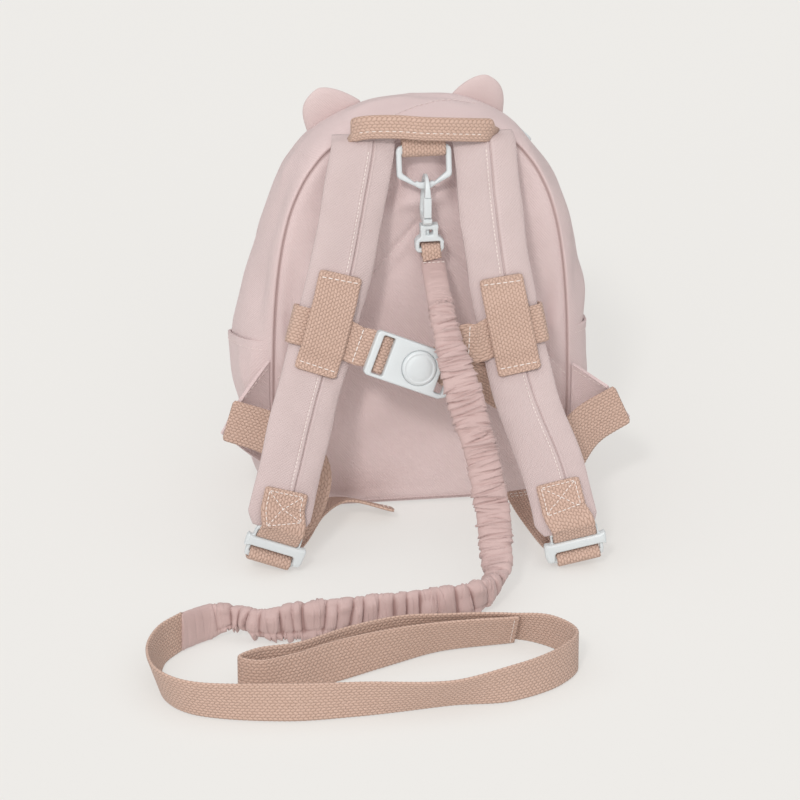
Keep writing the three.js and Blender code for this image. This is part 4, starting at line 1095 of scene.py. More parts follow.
def settleCloth():  # slack cloth puffed out by the filling, held at the seams and the strap tops
    spec = backPad["settle"]
    wide = np.arange(-spec["half"], spec["half"] + 1, spec["cell"])
    x, z = np.meshgrid(wide, np.arange(spec["foot"], spec["top"] + 1, spec["cell"]), indexing="ij")
    rim = rimLoop(0, backPad["inset"], panelSteps)
    mx, mz = backPad["middle"]
    turn = np.arctan2(rim[:, 2] - mz, rim[:, 0] - mx)
    order = np.argsort(turn)
    reach = np.hypot(rim[:, 0] - mx, rim[:, 2] - mz)[order]
    away = np.interp(np.arctan2(z - mz, x - mx), turn[order], reach, period=2 * np.pi)
    edge = away - np.hypot(x - mx, z - mz)
    held = [1.2 - edge / 9, 1.1 - chevronGap(x, z) / 7, (z - spec["strapTops"]) / 16]
    held = np.clip(np.maximum.reduce(held), 0, 1)
    sheet = addMesh("settling", np.stack([x, 0 * x, z], -1), gridFaces(*x.shape).tolist())
    if sheet.data.polygons[0].normal.y > 0:
        sheet.data.flip_normals()
    group = sheet.vertex_groups.new(name="sewn")
    for k in np.flatnonzero(held > 0.01):
        group.add([int(k)], float(held.flat[k]), "REPLACE")
    cloth = sheet.modifiers.new("settle", "CLOTH")
    cloth.settings.vertex_group_mass = "sewn"
    cloth.settings.quality = spec["quality"]
    cloth.settings.use_pressure = True
    cloth.settings.uniform_pressure_force = spec["pressure"]
    cloth.settings.shrink_min = -spec["slack"]
    cloth.settings.effector_weights.gravity = 0
    cloth.collision_settings.use_collision = False
    cloth.point_cache.frame_start, cloth.point_cache.frame_end = 1, spec["frames"]
    for step in range(1, spec["frames"] + 1):
        scene.frame_set(step)
    made = sheet.evaluated_get(bpy.context.evaluated_depsgraph_get()).to_mesh()
    moved = np.empty(len(made.vertices) * 3)
    made.vertices.foreach_get("co", moved)
    scene.frame_set(1)
    bpy.data.objects.remove(sheet)
    rise = -moved.reshape(-1, 3)[:, 1].reshape(x.shape) / mm
    print("back panel settled", round(float(rise.min()), 2), "to", round(float(rise.max()), 2), "mm")
    return spec["cap"] * np.tanh(rise / spec["cap"])


panelSteps = 320  # points round a panel's rim
padPuff = settleCloth()


def puffAt(x, z):  # smooth reading of the settled cloth
    if padPuff is None:
        return 0 * x
    spec = backPad["settle"]
    u = np.clip((x + spec["half"]) / spec["cell"], 1, padPuff.shape[0] - 3)
    v = np.clip((z - spec["foot"]) / spec["cell"], 1, padPuff.shape[1] - 3)
    i, j = np.floor(u).astype(int), np.floor(v).astype(int)

    def shares(f):
        middle = (3 * f**3 - 6 * f**2 + 4) / 6, (1 + 3 * f + 3 * f**2 - 3 * f**3) / 6
        return (1 - f) ** 3 / 6, *middle, f**3 / 6

    total = 0
    for m, a in enumerate(shares(u - i)):
        for n, b in enumerate(shares(v - j)):
            total = total + a * b * padPuff[i + m - 1, j + n - 1]
    return total


def padRelief(x, z):  # positive stands out from the bag
    arms = chevronGap(x, z)
    high = -backPad["groove"] * bump(arms, 0, 1.3) + 0.35 * bump(arms, 4, 3)
    for fold in padFolds:
        way = unit(vec(fold["way"]))
        rx, rz = x - fold["at"][0], z - fold["at"][1]
        along, off = rx * way[0] + rz * way[1], -rx * way[1] + rz * way[0]
        high = high + backPad["foldGain"] * fold["high"] * foldShape(fold, along, off)
    return high + puffAt(x, z) + 0.25 * np.sin(0.07 * x + 0.05 * z) * np.sin(0.06 * z - 0.03 * x + 1)


# shade and lipShade are painted shade: the panel darkens over its last shade millimetres before the rim, and
# fully on its lip
panelEdge = {
    "fade": 12, "dip": 6, "shade": 1.2, "lipTurns": (20, 45, 70, 90), "lipShade": -1.4, "lipDrop": 0.6,
}


def panelPiece(name, node, across, faceAt, outSign, spec, relief):
    rim = rimLoop(across, spec["inset"], panelSteps)
    middle = vec([spec["middle"][0], 0, spec["middle"][1]])
    inward = unit(middle - rim)
    rolling = 0.9 + 0.085 * np.sin(np.linspace(0, np.pi / 2, 8))[1:]
    rings, paintedSeamShade = [], []
    for s in np.concatenate([np.linspace(0.004, 0.9, 58), rolling]):
        p = middle + (rim - middle) * s
        edge = np.linalg.norm(rim - p, axis=1)
        # painted seam shade, darkest at the rim and gone a shade distance in
        paintedSeamShade.append(-panelEdge["shade"] * np.maximum(0, 1 - edge / panelEdge["shade"]))
        high = spec["belly"] * (1 - s**2) + relief(p[:, 0], p[:, 2]) * np.clip(edge / panelEdge["fade"], 0, 1)
        high = high - spec["sink"] * np.maximum(0, 1 - edge / panelEdge["dip"]) ** 2
        rings.append(np.column_stack([p[:, 0], faceAt(p[:, 2]) + outSign * high, p[:, 2]]))
    for turn in np.radians(panelEdge["lipTurns"]):
        p = rim + inward * spec["roll"] * (1 - math.sin(turn)) * 0.9
        drop = panelEdge["lipDrop"] + spec["roll"] * (1 - math.cos(turn))
        # the lip rows take painted seam shade in full
        paintedSeamShade.append(np.full(panelSteps, panelEdge["lipShade"]))
        rings.append(np.column_stack([p[:, 0], faceAt(p[:, 2]) - outSign * drop, p[:, 2]]))
    verts = np.concatenate(rings)
    faces = [*gridFaces(len(rings), panelSteps, wrap=True).tolist(), list(range(panelSteps))[::-1]]
    first = verts[faces[0]]
    if np.cross(first[1] - first[0], first[3] - first[0])[1] * outSign < 0:
        faces = [f[::-1] for f in faces]
    # the weave's third column carries the painted seam shade to the body twill
    obj = addMesh(name, verts, faces, np.column_stack([verts[:, [0, 2]], np.concatenate(paintedSeamShade)]))
    skin = obj.modifiers.new("padding", "SOLIDIFY")
    skin.thickness = spec["thick"] * mm
    skin.offset = -1
    return bodyCloth(obj, node)


def backFace(z):
    return np.full_like(z, backPad["face"])


backPanel = panelPiece("back_pad", "back_panel", 0, backFace, -1, backPad, padRelief)

foreFace = {"belly": 11, "inset": 2.0, "middle": (0, 100), "roll": 0.9, "sink": 1.2, "thick": 1.8}


def frontFace(z):
    return bag["frontY"] - bag["frontLean"] * np.minimum(1, np.maximum(z, 0) / bag["crownZ"]) ** 2 + 1


def foreRelief(x, z):
    return 0.9 * np.sin(0.045 * x + 0.6) * np.sin(0.04 * z + 0.3) + 0.6 * np.sin(0.09 * x - 0.06 * z)


panelPiece("fore_panel", "front_panel", 1, frontFace, 1, foreFace, foreRelief)


def chevronSeam():
    wide, tall = backPad["bow"]
    for arm in ("armLeft", "armRight"):
        share = np.linspace(0.02, 0.97, 60)[:, None]
        line = np.array(backPad["apex"]) * (1 - share) + np.array(backPad[arm]) * share
        x, z = line[:, 0], line[:, 1] - backPad["seamDrop"]
        scale = np.clip(np.hypot(x / wide, (z - backPad["middle"][1]) / tall), 0, 1)
        y = backPad["face"] - backPad["belly"] * (1 - scale**2) - padRelief(x, z)
        sewLine("body_threads", np.column_stack([x, y, z]), (0, -1, 0), "chevron")


chevronSeam()

baseCloth = {"rows": 25, "cols": 41, "span": (0.03, 0.97), "inset": 2, "lift": 0.1, "thick": 1.8}


def basePiece():
    edge = bagPoint(1, np.linspace(*baseCloth["span"], baseCloth["rows"]))
    x = np.linspace(-1, 1, baseCloth["cols"])[None] * (edge[:, :1] - baseCloth["inset"])
    y = np.broadcast_to(edge[:, 1:2], x.shape)
    grid = np.stack([x, y, np.full_like(x, baseCloth["lift"])], -1)
    bodyCloth(sheetPiece("base_cloth", grid, baseCloth["thick"], (0, 0, -1), grid[..., :2]), "base_panel")


basePiece()
print("bag shell made")


# side pockets and ears

sidePocket = {
    "wall": 1.5, "gape": 0.8, "hem": 0.634, "foot": 0.93, "hemStitch": 4.8, "slope": 0.055, "sink": 0.5,
    "cells": 60, "weave": (78, 90), "flat": (0.092, 0.082),
}


def makePocket(name, side):
    rows = cols = sidePocket["cells"]
    tall, wide = sidePocket["weave"]
    up, over = np.linspace(0, 1, rows)[:, None], np.linspace(0, 1, cols)[None]
    hem = sidePocket["hem"] + sidePocket["slope"] * over
    around = side * between((sidePocket["foot"], hem), up)
    across = 0.004 + 0.992 * over + 0 * up
    place, normal = bagPoint(around, across), bagNormal(around, across)
    sewn = np.sin(np.pi / 2 * np.clip(np.minimum(over, 1 - over) / 0.22, 0, 1)) * np.clip(up / 0.1, 0, 1)
    lift = slackAt(place, across) - sidePocket["sink"]
    lift = lift + (0.25 + sidePocket["wall"]) * sewn + sidePocket["gape"] * up**0.8 * np.sin(np.pi * over)
    lift = lift + 0.15 * np.sin(over * 26 + 2 * up) * up**2 + 0.25 * bump(up, 0.985, 0.02)
    lift = lift + 0.6 * np.sin(5 * over + 3 * up + side) * np.sin(np.pi * up) * np.sin(np.pi * over)
    grid = place + normal * lift[..., None]
    obj = sheetPiece(f"pocket_cloth_{name}", grid, sidePocket["wall"], normal, spread(up * tall, over * wide))
    bodyCloth(obj, f"pocket_{name}")
    row = int(rows * (1 - sidePocket["hemStitch"] / tall))
    sewLine("body_threads", grid[row, 2:-2], normal[row, 2:-2], "pocketHem")


for name, side in sides.items():
    makePocket(name, side)

earLobe = {
    "thick": 8, "across": 0.6, "lift": 0.6, "turns": 56, "rows": 40,
    "left": {
        "high": 17.5, "inner": 0.085, "outer": 0.178, "splay": 0.55, "peak": 0.13, "full": 0.55,
    },
    "right": {
        "high": 17.8, "inner": 0.073, "outer": 0.1575, "splay": 0.22, "peak": 0.24, "full": 0.36,
    },
}


def makeEar(name, side):
    spec = earLobe[name]
    middle = side * (spec["inner"] + spec["outer"]) / 2
    lean = bagNormal(np.array([middle]), np.array([0.5]))[0]
    lean = unit(np.array([lean[0] * spec["splay"], 0, lean[2]]))
    depth = bag["frontY"] - bag["backY"]
    turn = np.linspace(0, 2 * np.pi, earLobe["turns"], endpoint=False)
    rings = []
    for rise in np.sin(np.linspace(-0.12, np.pi / 2 - 0.03, earLobe["rows"])):
        up = min(max(rise, 0), 1)
        inner = -1 + (1 + spec["peak"]) * (1 - (1 - up) ** 0.68)
        outer = spec["peak"] + (1 - spec["peak"]) * (1 - up**3.4) ** spec["full"]
        over = (inner + outer) / 2 + (outer - inner) / 2 * signedPower(np.cos(turn), 0.9)
        plump = math.sqrt(max(0.02, 1 - max(rise, 0) ** 2.2))
        thick = earLobe["thick"] / 2 * signedPower(np.sin(turn), 1.15) * plump
        around = middle + side * over * (spec["outer"] - spec["inner"]) / 2
        across = earLobe["across"] + thick / depth
        foot = bagPoint(around, across) + bagNormal(around, across) * earLobe["lift"]
        rings.append(foot + lean * rise * spec["high"])
    rings = np.array(rings)
    obj = loftPiece(f"ear_pad_{name}", rings, rings[..., [0, 2]])
    # the ears take their own darker copy of the twill, painted shade offsetting the light on their forward
    # faces
    finishPiece(obj, earTwill, [f"ear_{name}"])


for name, side in sides.items():
    makeEar(name, side)
print("pockets and ears made")


# shoulder straps and what is sewn to them

strapPad = {
    "width": 36, "thick": 7, "lapHigh": 0.7, "groove": 1.1, "tipReach": 9, "tipDrop": 1.2,
    "tuck": (0.9, 6.2, 4.2), "stitchIn": 2.2, "stitchLift": 0.12, "facing": (0, -1, 0.2), "routeStep": 1.5,
    "padStep": 1.1,
}
webbing = {
    "width": 25, "thick": 2.1, "chest": 22, "chestThick": 1.7, "clear": 0.4, "cad": 1.8, "chestDrop": 4.4,
    "step": 0.9, "endStep": 0.7, "margin": 3, "chestMargin": 2,
    "corners": {"patch": 2.2, "end": 1.6, "tail": 1.8},
}
slider = {
    "width": 33, "drop": 21, "bar": 3.4, "thick": 3.2, "slot": 25.6, "grip": 5.8, "ear": 2.6, "bevel": 0.95,
    "gripThick": 5.0, "gripBevel": 1.5, "gripLift": 0.9,
}
straps = {
    "left": {
        "side": -1,
        "slope": -0.22,
        "route": [
            (-34.2, -51.5, 224.2), (-40.7, -64, 200), (-49.7, -77, 164), (-57.5, -84, 139), (-64, -90, 118.5),
            (-74, -103, 92), (-83, -119, 67.5), (-89, -128, 49.5), (-92.5, -131.5, 37),
        ],
        "wing": {"top": (-106.5, -60, 76), "foot": (-117, -60, 56.6), "seamTop": 94, "seamFoot": 26},
        "slider": {"bar": (-99, -131, 9.8), "along": (0.93, 0, -0.36), "down": (-0.32, 0.1, -0.92)},
        "run": [(-91, -71, 60), (-77, -83, 54), (-71, -95, 44), (-77, -106, 29), (-89, -116, 19)],
        "tail": [(-84, -93, 3.6), (-67, -67, 8.4), (-48, -59.5, 11), (-19, -63, 4.6)],
        "tailAcross": [(0.8, -0.6, 0), (0.55, -0.83, 0.16), (0.2, -0.95, 0.33), (-0.1, -0.94, 0.36)],
        "patch": (0.272, 0.56),
        "boxFrom": 0.872,
        "boxDeep": 17.3,
        "lead": [(-37, -96, 119.8), (-30.5, -101.4, 117.8), (-24.5, -98.4, 115.2)],
        "leadUp": [(0.34, 0.2, 0.92), (0.36, 0.2, 0.91), (0.36, 0.2, 0.91)],
        "seam": [(0, 5.4), (0.5, 5.0), (1, 4.2)],
        "hemFromEnd": 22.5,
    },
    "right": {
        "side": 1,
        "slope": 0.22,
        "route": [
            (35, -51.5, 222), (36.4, -64, 193), (39, -77, 161.7), (42, -84, 139.6), (47, -91, 111.5),
            (52.5, -105, 85), (62.3, -128, 57), (65.5, -141, 42.5), (67.5, -147, 32),
        ],
        "wing": {"top": (105.5, -60, 72.7), "foot": (119.5, -60, 53), "seamTop": 82, "seamFoot": 22},
        "slider": {"bar": (75, -148, 8.2), "along": (0.98, 0, 0.19), "down": (0.17, 0.1, -0.97)},
        "run": [(93, -71, 54), (80, -84, 45), (71, -98, 34), (70, -112, 22), (72, -127, 15)],
        "tail": [(71, -118, 2.4), (66, -96, 4.4), (62, -78, 7.2), (59, -60, 10.5)],
        "tailAcross": [(0.98, 0.2, 0), (0.98, 0.2, 0), (0.98, 0.2, 0), (0.98, 0.1, 0)],
        "patch": (0.298, 0.555),
        "boxFrom": 0.827,
        "boxDeep": 14.8,
        "lead": [(17.5, -94.6, 119), (9, -95.6, 111), (-1.5, -96.2, 101.5)],
        "leadUp": [(-0.02, 0.2, 0.97), (0.25, 0.2, 0.93), (0.34, 0.2, 0.91)],
        "seam": [(0, 2.2), (0.4, 2.2), (0.7, 4.2), (1, 5.2)],
        "hemFromEnd": 28.6,
    },
}


def beside(half):  # where a band's middle runs when it lies on something this far from its own middle
    return half + webbing["clear"] + webbing["cad"] / 2


def strapShare(route, share):  # run length at a share of the curve's own parameter
    dense = smoothPath(route, curveSteps * len(route))
    return float(np.interp(share, np.linspace(0, 1, len(dense)), runLength(dense)))


lapSteps = np.array([-3.2, -2.7, -2.2, -1.7, -1.2, -0.5, -0.15, 0.1, 0.3, 0.5, 0.8, 1.3, 2.0])


def strapSection(lap):  # outer face with a lap seam, then the inner face
    w, t = strapPad["width"] / 2, strapPad["thick"] / 2
    a = np.sort(np.concatenate([w * np.sin(np.linspace(-np.pi / 2, np.pi / 2, 26)), lap + lapSteps]))
    near = np.abs(a) / w
    front = t * np.maximum(0, 1 - near**3.4) ** 0.6
    step = 0.5 * (1 - np.tanh((a - lap) / 0.25))
    seam = strapPad["lapHigh"] * (step - 0.5) - strapPad["groove"] * bump(a - lap, 0.3, 0.4)
    front = front + seam * (1 - near**8) - 0.3 * bump(a - lap, -strapPad["stitchIn"], 0.7)
    back = -t * np.maximum(0, 1 - near**3.0) ** 0.6
    return np.vstack([np.column_stack([a, front]), np.column_stack([a, back])[::-1][1:-1]])


def strapRing(spec, s, total, lap):  # distances across and out for one ring of the padding
    a, n = strapSection(lap).T
    left, side = total - s, spec["side"]
    narrow = 1 - 0.24 * np.clip(1 - left / 7.5, 0, 1) ** 1.3
    flat = 1 - 0.5 * np.clip(1 - left / 20, 0, 1)
    top = 1 - 0.65 * np.clip(1 - s / 12, 0, 1) ** 1.5
    puff = 1 + 0.05 * math.sin(s * 0.11 + side) + 0.03 * math.sin(s * 0.31)
    ripple = 0.22 * np.sin(s * 0.16 + a * 0.19) + 0.12 * np.sin(s * 0.37 - a * 0.3)
    edge = 0.25 * math.sin(s * 0.13 + 2 * side) * np.sign(a) * (np.abs(a) > 15)
    return a * narrow + edge, n * flat * top * puff + ripple * np.sign(n) * flat


def makeStrap(name, spec):
    route = [vec(p) for p in spec["route"]]
    slopes = [(1, 0, spec["slope"] * min(1, k / 3)) for k in range(len(route))]
    spec["frames"] = framesAlong(route, slopes, strapPad["routeStep"], facing=strapPad["facing"])
    tip = unit(route[-1] - route[-2]) * strapPad["tipReach"] + vec([0, strapPad["tipDrop"], 0])
    tuck = np.array(strapPad["tuck"]) * np.array([-spec["side"], 1, 1])
    whole = [route[0] + tuck, *route, route[-1] + tip]
    slopes = [slopes[0], *slopes, slopes[-1]]
    longer = framesAlong(whole, slopes, strapPad["padStep"], facing=strapPad["facing"])
    run, total = longer["run"], longer["run"][-1]
    tuckRun = run[np.linalg.norm(longer["place"] - route[0], axis=1).argmin()]
    seam = np.array(spec["seam"]).T
    wide, tall = np.moveaxis([strapRing(spec, s, total, np.interp(s / total, *seam)) for s in run], 1, 0)
    weave = spread(run[:, None], strapSection(4)[None, :, 0])
    obj = loftPiece(f"strap_pad_{name}", sweep(longer, wide, tall), weave)
    # the straps take the darker copy of the twill, painted shade offsetting the extra light they catch
    finishPiece(obj, strapTwill, [f"shoulder_strap_{name}"])
    patchFrom, patchTo = (strapShare(route, s) for s in spec["patch"])
    boxFrom = strapShare(route, spec["boxFrom"])
    for start, end in ((3, patchFrom - 1), (patchTo + 1, boxFrom - 1)):
        s = np.linspace(start, end, 120) + tuckRun
        line = np.interp(s / total, *seam) - strapPad["stitchIn"]
        path, out = onFrames(longer, s, line, strapPad["thick"] / 2 + strapPad["stitchLift"])
        sewLine("strap_threads", path, out, "strapLap")
    return patchFrom, patchTo


def sewAcross(frames, s, width, out, kind="box", slant=0.0):
    a = np.linspace(-width / 2, width / 2, 15)
    path, face = onFrames(frames, s + slant * a, a, out)
    sewLine("strap_threads", path, face * np.sign(out), kind)


def makePatch(name, spec, patchFrom, patchTo):
    f = spec["frames"]
    s = np.linspace(patchFrom, patchTo, 110)
    rise = np.clip((np.sin(np.pi * np.linspace(0, 1, 110)) - 0.3) / 0.5, 0, 1)
    rise = rise * rise * (3 - 2 * rise)
    skin = beside(strapPad["thick"] / 2)
    place, face = onFrames(f, s, 0, skin + rise * (webbing["cad"] + 2 * webbing["clear"]))
    side = unit(resample(f["run"], s, f["side"]))
    patch = {"place": place, "side": side, "face": face, "run": runLength(place)}
    wide, thick, corner = webbing["width"], webbing["thick"], webbing["corners"]["patch"]
    webbingBand(f"patch_band_{name}", f"chest_patch_{name}", patch, wide, thick, corner=corner)
    length, out = patch["run"][-1], thick / 2 + 0.08
    for at, slant in ((3.6, 0.05 * spec["side"]), (length - 4.2, 0.03)):
        sewAcross(patch, at, wide - webbing["margin"], out, "patch", slant)


def makeChestBand(name, spec):
    f = spec["frames"]
    spot = strapShare(spec["route"], sum(spec["patch"]) / 2) + webbing["chestDrop"]
    inward = -spec["side"]
    skin = beside(strapPad["thick"] / 2)
    reach = beside(strapPad["width"] / 2) + 1
    ring = [  # distance inward, out from the strap, down along it
        (reach * 0.66, -skin, 0), (reach * 0.4, -skin, 0), (0, -skin, 0), (-reach * 0.6, -skin, 0),
        (-reach * 0.93, -skin * 0.75, 0), (0.2 - reach, 0, 0), (-reach * 0.93, skin * 0.75, 0),
        (-reach * 0.6, skin, 0), (0, skin, 0), (reach * 0.5, skin, 1.2), (reach - 1, skin + 1.2, 3.4),
    ]
    points = [onFrames(f, spot + drop, inward * a, n)[0][0] for a, n, drop in ring]
    up = -unit(resample(f["run"], np.array([spot]), f["along"]))[0]
    frames = framesAlong([*points, *spec["lead"]], [*[up] * len(points), *spec["leadUp"]], webbing["step"])
    wide, thick = webbing["chest"], webbing["chestThick"]
    webbingBand(f"chest_band_{name}", f"chest_webbing_{name}", frames, wide, thick)
    toward = np.sign(-frames["face"][-8][1])
    hem = frames["run"][-1] - spec["hemFromEnd"]
    sewAcross(frames, hem, wide - webbing["chestMargin"], toward * (thick / 2 + 0.1), "chest")


def seamAt(side, z):
    a = np.linspace(1, 0.2, 800)
    line = bagPoint(side * a, np.zeros_like(a))
    return line[np.argmax(line[:, 2] >= z)].copy()


wingCloth = {
    "rows": 40, "cols": 30, "thick": 1.8, "rootOut": 0.2, "rootBack": 1.6, "weave": (55, 35), "hem": 0.035,
}


def makeWing(name, spec):
    side, wing = spec["side"], spec["wing"]
    rows, cols = wingCloth["rows"], wingCloth["cols"]
    top, foot = vec(wing["top"]), vec(wing["foot"])
    down, over = np.linspace(0, 1, rows), np.linspace(0, 1, cols)
    grid = np.zeros((rows, cols, 3))
    for i in range(rows):
        share = i / (rows - 1)
        root = seamAt(side, between((wing["seamTop"], wing["seamFoot"]), share))
        root[0] += side * wingCloth["rootOut"]
        root[1] = bag["backY"] - wingCloth["rootBack"]
        line = root * (1 - over[:, None]) + between((top, foot), share) * over[:, None]
        slack = math.sin(math.pi * share) * np.sin(np.pi * over)
        line[:, 1] += (1.6 * slack + 0.5 * np.sin(9 * share + 5 * over)) * 0.8
        line[:, 2] -= 1.5 * slack * (0.5 - share)
        grid[i] = line
    grid[..., 1] -= 0.45 * (bump(down, 0, wingCloth["hem"]) + bump(1 - down, 0, wingCloth["hem"]))[:, None]
    tall, deep = wingCloth["weave"]
    weave = spread(down[:, None] * tall, np.linspace(0, deep, cols)[None])
    obj = sheetPiece(f"wing_cloth_{name}", grid, wingCloth["thick"], (0, -1, 0), weave)
    bodyCloth(obj, f"wing_{name}")
    deep = np.linalg.norm(grid[0, -1] - grid[0, 0]) + np.linalg.norm(grid[-1, -1] - grid[-1, 0])
    tall = np.linalg.norm(grid[0, 0] - grid[-1, 0]) + np.linalg.norm(grid[0, -1] - grid[-1, -1])
    for row in (2, rows - 3):
        sewLine("body_threads", grid[row, 1:-1] + vec([0, -0.1, 0]), (0, -1, 0), "wingHem")
    return top, foot


def flatPlate(name, outer, holes, thick, bevel, middle, right, up, steps=3):  # moulded plate from drawn loops
    curve = bpy.data.curves.new(name, "CURVE")
    curve.dimensions = "2D"
    curve.fill_mode = "BOTH"
    for loop in (outer, *holes):
        spline = curve.splines.new("POLY")
        spline.points.add(len(loop) - 1)
        for point, (x, y) in zip(spline.points, loop):
            point.co = (x * mm, y * mm, 0, 1)
        spline.use_cyclic_u = True
    curve.offset = -bevel * mm
    curve.extrude = (thick / 2 - bevel) * mm
    curve.bevel_depth = bevel * mm
    curve.bevel_resolution = steps
    temp = bpy.data.objects.new(name + "_curve", curve)
    scene.collection.objects.link(temp)
    bpy.context.view_layer.update()
    mesh = bpy.data.meshes.new_from_object(temp.evaluated_get(bpy.context.evaluated_depsgraph_get()))
    bpy.data.objects.remove(temp)
    right, up = unit(vec(right)), unit(vec(up))
    out = np.cross(right, up)
    place = Matrix([(*row, 0) for row in np.column_stack([right, up, out]).tolist()] + [(0, 0, 0, 1)])
    place.translation = Vector(vec(middle) * mm)
    mesh.transform(place)
    mesh.name = name
    obj = bpy.data.objects.new(name, mesh)
    scene.collection.objects.link(obj)
    weld = obj.modifiers.new("weld", "WELD")
    weld.merge_threshold = 0.00001
    mesh.polygons.foreach_set("use_smooth", [True] * len(mesh.polygons))
    mesh.update()
    return obj


def roundBox(x0, y0, x1, y1, r, steps=6):
    corners = (x1 - r, y0 + r, -90), (x1 - r, y1 - r, 0), (x0 + r, y1 - r, 90), (x0 + r, y0 + r, 180)
    return [point for x, y, start in corners for point in arcLoop(x, y, r, start, start + 90, steps)]


def arcLoop(x, y, r, start, end, steps=18):
    return [(x + r * math.cos(t), y + r * math.sin(t)) for t in np.radians(np.linspace(start, end, steps))]


def makeSlider(name, spec):
    given = spec["slider"]
    bar, along, down = vec(given["bar"]), unit(vec(given["along"])), vec(given["down"])
    down = unit(down - (down @ along) * along)
    face = np.cross(down, along)
    face = -face if face[1] > 0 else face

    def local(d, n):
        return bar + down * d + face * n

    drop, b = slider["drop"] - slider["bar"], slider["bar"]
    w, slot, grip = slider["width"] / 2, slider["slot"] / 2, slider["grip"]
    half = [
        (slot - 1, -b / 2), (w - 2.2, -b / 2 + 0.4), (w - 1.6, b / 2), (w - 1.4, 5), (w, 6), (w, drop - 6.6),
        (w - 2.6, drop - 5.4), (w - 2.8, drop - 0.6), (w - 3.4, drop + b / 2 - 0.5), (slot - 1, drop + b / 2),
    ]
    outer = [*half, *[(-x, y) for x, y in half[::-1]]]
    low, high = drop / 2 - grip / 2, drop / 2 + grip / 2
    holes = [roundBox(-slot, b / 2, slot, low, 0.9), roundBox(-slot, high, slot, drop - b / 2, 0.9)]
    obj = flatPlate(f"slider_{name}", outer, holes, slider["thick"], slider["bevel"], bar, along, -down)
    moulded(obj, f"strap_slider_{name}")
    ear = w - slider["ear"]
    loop = [
        (-w - 0.4, low - 1), (-ear, low), (ear - 2.2, low), (ear - 1.2, low - 1), (ear - 0.9, low - 4.2),
        (ear + 0.4, low - 5.8), (w, low - 5.9), (w + 1.4, low - 4.6), (w + 1.9, low - 2),
        (w + 1.8, high - 0.6), (w + 0.8, high + 0.7), (ear, high), (-ear, high), (-w - 0.4, high + 1.2),
        (-w - 0.9, high - 0.5),
    ]
    loop = [(-x * spec["side"], y) for x, y in loop]
    thick, bevel, seat = slider["gripThick"], slider["gripBevel"], bar + face * slider["gripLift"]
    grips = flatPlate(f"slider_grip_{name}", loop, [], thick, bevel, seat, along, -down, steps=4)
    moulded(grips, edges="turned")
    return local, along, drop


def makeStrapEnd(name, spec, local, along, drop):
    f, route = spec["frames"], spec["route"]
    skin = beside(strapPad["thick"] / 2) + 0.3
    clear = beside(slider["thick"] / 2)
    spots = [strapShare(route, s) for s in np.linspace(spec["boxFrom"], 0.965, 4)]
    start = [onFrames(f, s, 0, skin)[0][0] for s in spots]
    across = [unit(resample(f["run"], np.array([s]), f["side"]))[0] for s in spots]
    turn = [  # round the slider's upper bar: distance down, distance out
        (-4.5, clear + 1.4), (-0.5, clear + 0.3), (3, clear - 0.7), (4.9, clear * 0.4),
        (5.4, 0), (4, -clear * 0.9), (0.5, -clear - 0.5), (-5.5, -clear - 0.8),
    ]
    points = [*start, *[local(d - drop, n) for d, n in turn]]
    frames = framesAlong(points, [*across, *[along] * len(turn)], webbing["endStep"])
    wide, thick, corner = webbing["width"], webbing["thick"] - 0.2, webbing["corners"]["end"]
    webbingBand(f"strap_end_band_{name}", f"strap_end_{name}", frames, wide, thick, corner=corner)
    out = np.sign(-frames["face"][4][1]) * (webbing["thick"] / 2)
    low, high, w = 2.2, 2.2 + spec["boxDeep"], wide / 2 - 2.8
    for s in (low, high):
        sewAcross(frames, s, 2 * w, out)
    for a, b in ((-w, w), (w, -w), (-w, -w), (w, w)):
        path, face = onFrames(frames, np.linspace(low, high, 15), np.linspace(a, b, 15), out)
        sewLine("strap_threads", path, face * np.sign(out), "boxCross")


def makeAdjuster(name, spec, local, along, top, foot):
    tipWay = unit(foot - top)
    clear, wrap = beside(slider["thick"] / 2), beside(slider["bar"] / 2)
    start = (top + foot) / 2 + np.array([spec["side"] * 2.2, -beside(1) - 0.5, 0])
    turn = [  # round the slider's lower bar: distance down, distance out
        (-wrap - 0.9, -clear - 3), (-wrap - 0.3, 0), (-wrap * 0.7, clear * 0.8), (0, clear + 0.4),
        (wrap * 0.75, clear * 0.7), (wrap, 0), (wrap - 0.4, -clear - 2.5),
    ]
    points = [start, *spec["run"], *[local(d, n) for d, n in turn], *spec["tail"]]
    flip = tipWay * (-1 if along @ tipWay < 0 else 1)
    turning = [between((flip, along), k / 6) for k in range(len(spec["run"]) + 1)]
    frames = framesAlong(points, [*turning, *[along] * len(turn), *spec["tailAcross"]], webbing["step"])
    wide, thick, corner = webbing["width"], webbing["thick"] - 0.3, webbing["corners"]["tail"]
    webbingBand(f"adjuster_band_{name}", f"adjuster_{name}", frames, wide, thick, corner=corner)
    out = np.sign(frames["face"][-4][2]) * (webbing["thick"] / 2)
    for fromEnd in (6, 3.4):
        sewAcross(frames, frames["run"][-1] - fromEnd, wide - webbing["margin"], out, "tail")


for strapName, strapSpec in straps.items():
    patchFrom, patchTo = makeStrap(strapName, strapSpec)
    makePatch(strapName, strapSpec, patchFrom, patchTo)
    makeChestBand(strapName, strapSpec)
    wingTop, wingFoot = makeWing(strapName, strapSpec)
    local, along, drop = makeSlider(strapName, strapSpec)
    makeStrapEnd(strapName, strapSpec, local, along, drop)
    makeAdjuster(strapName, strapSpec, local, along, wingTop, wingFoot)

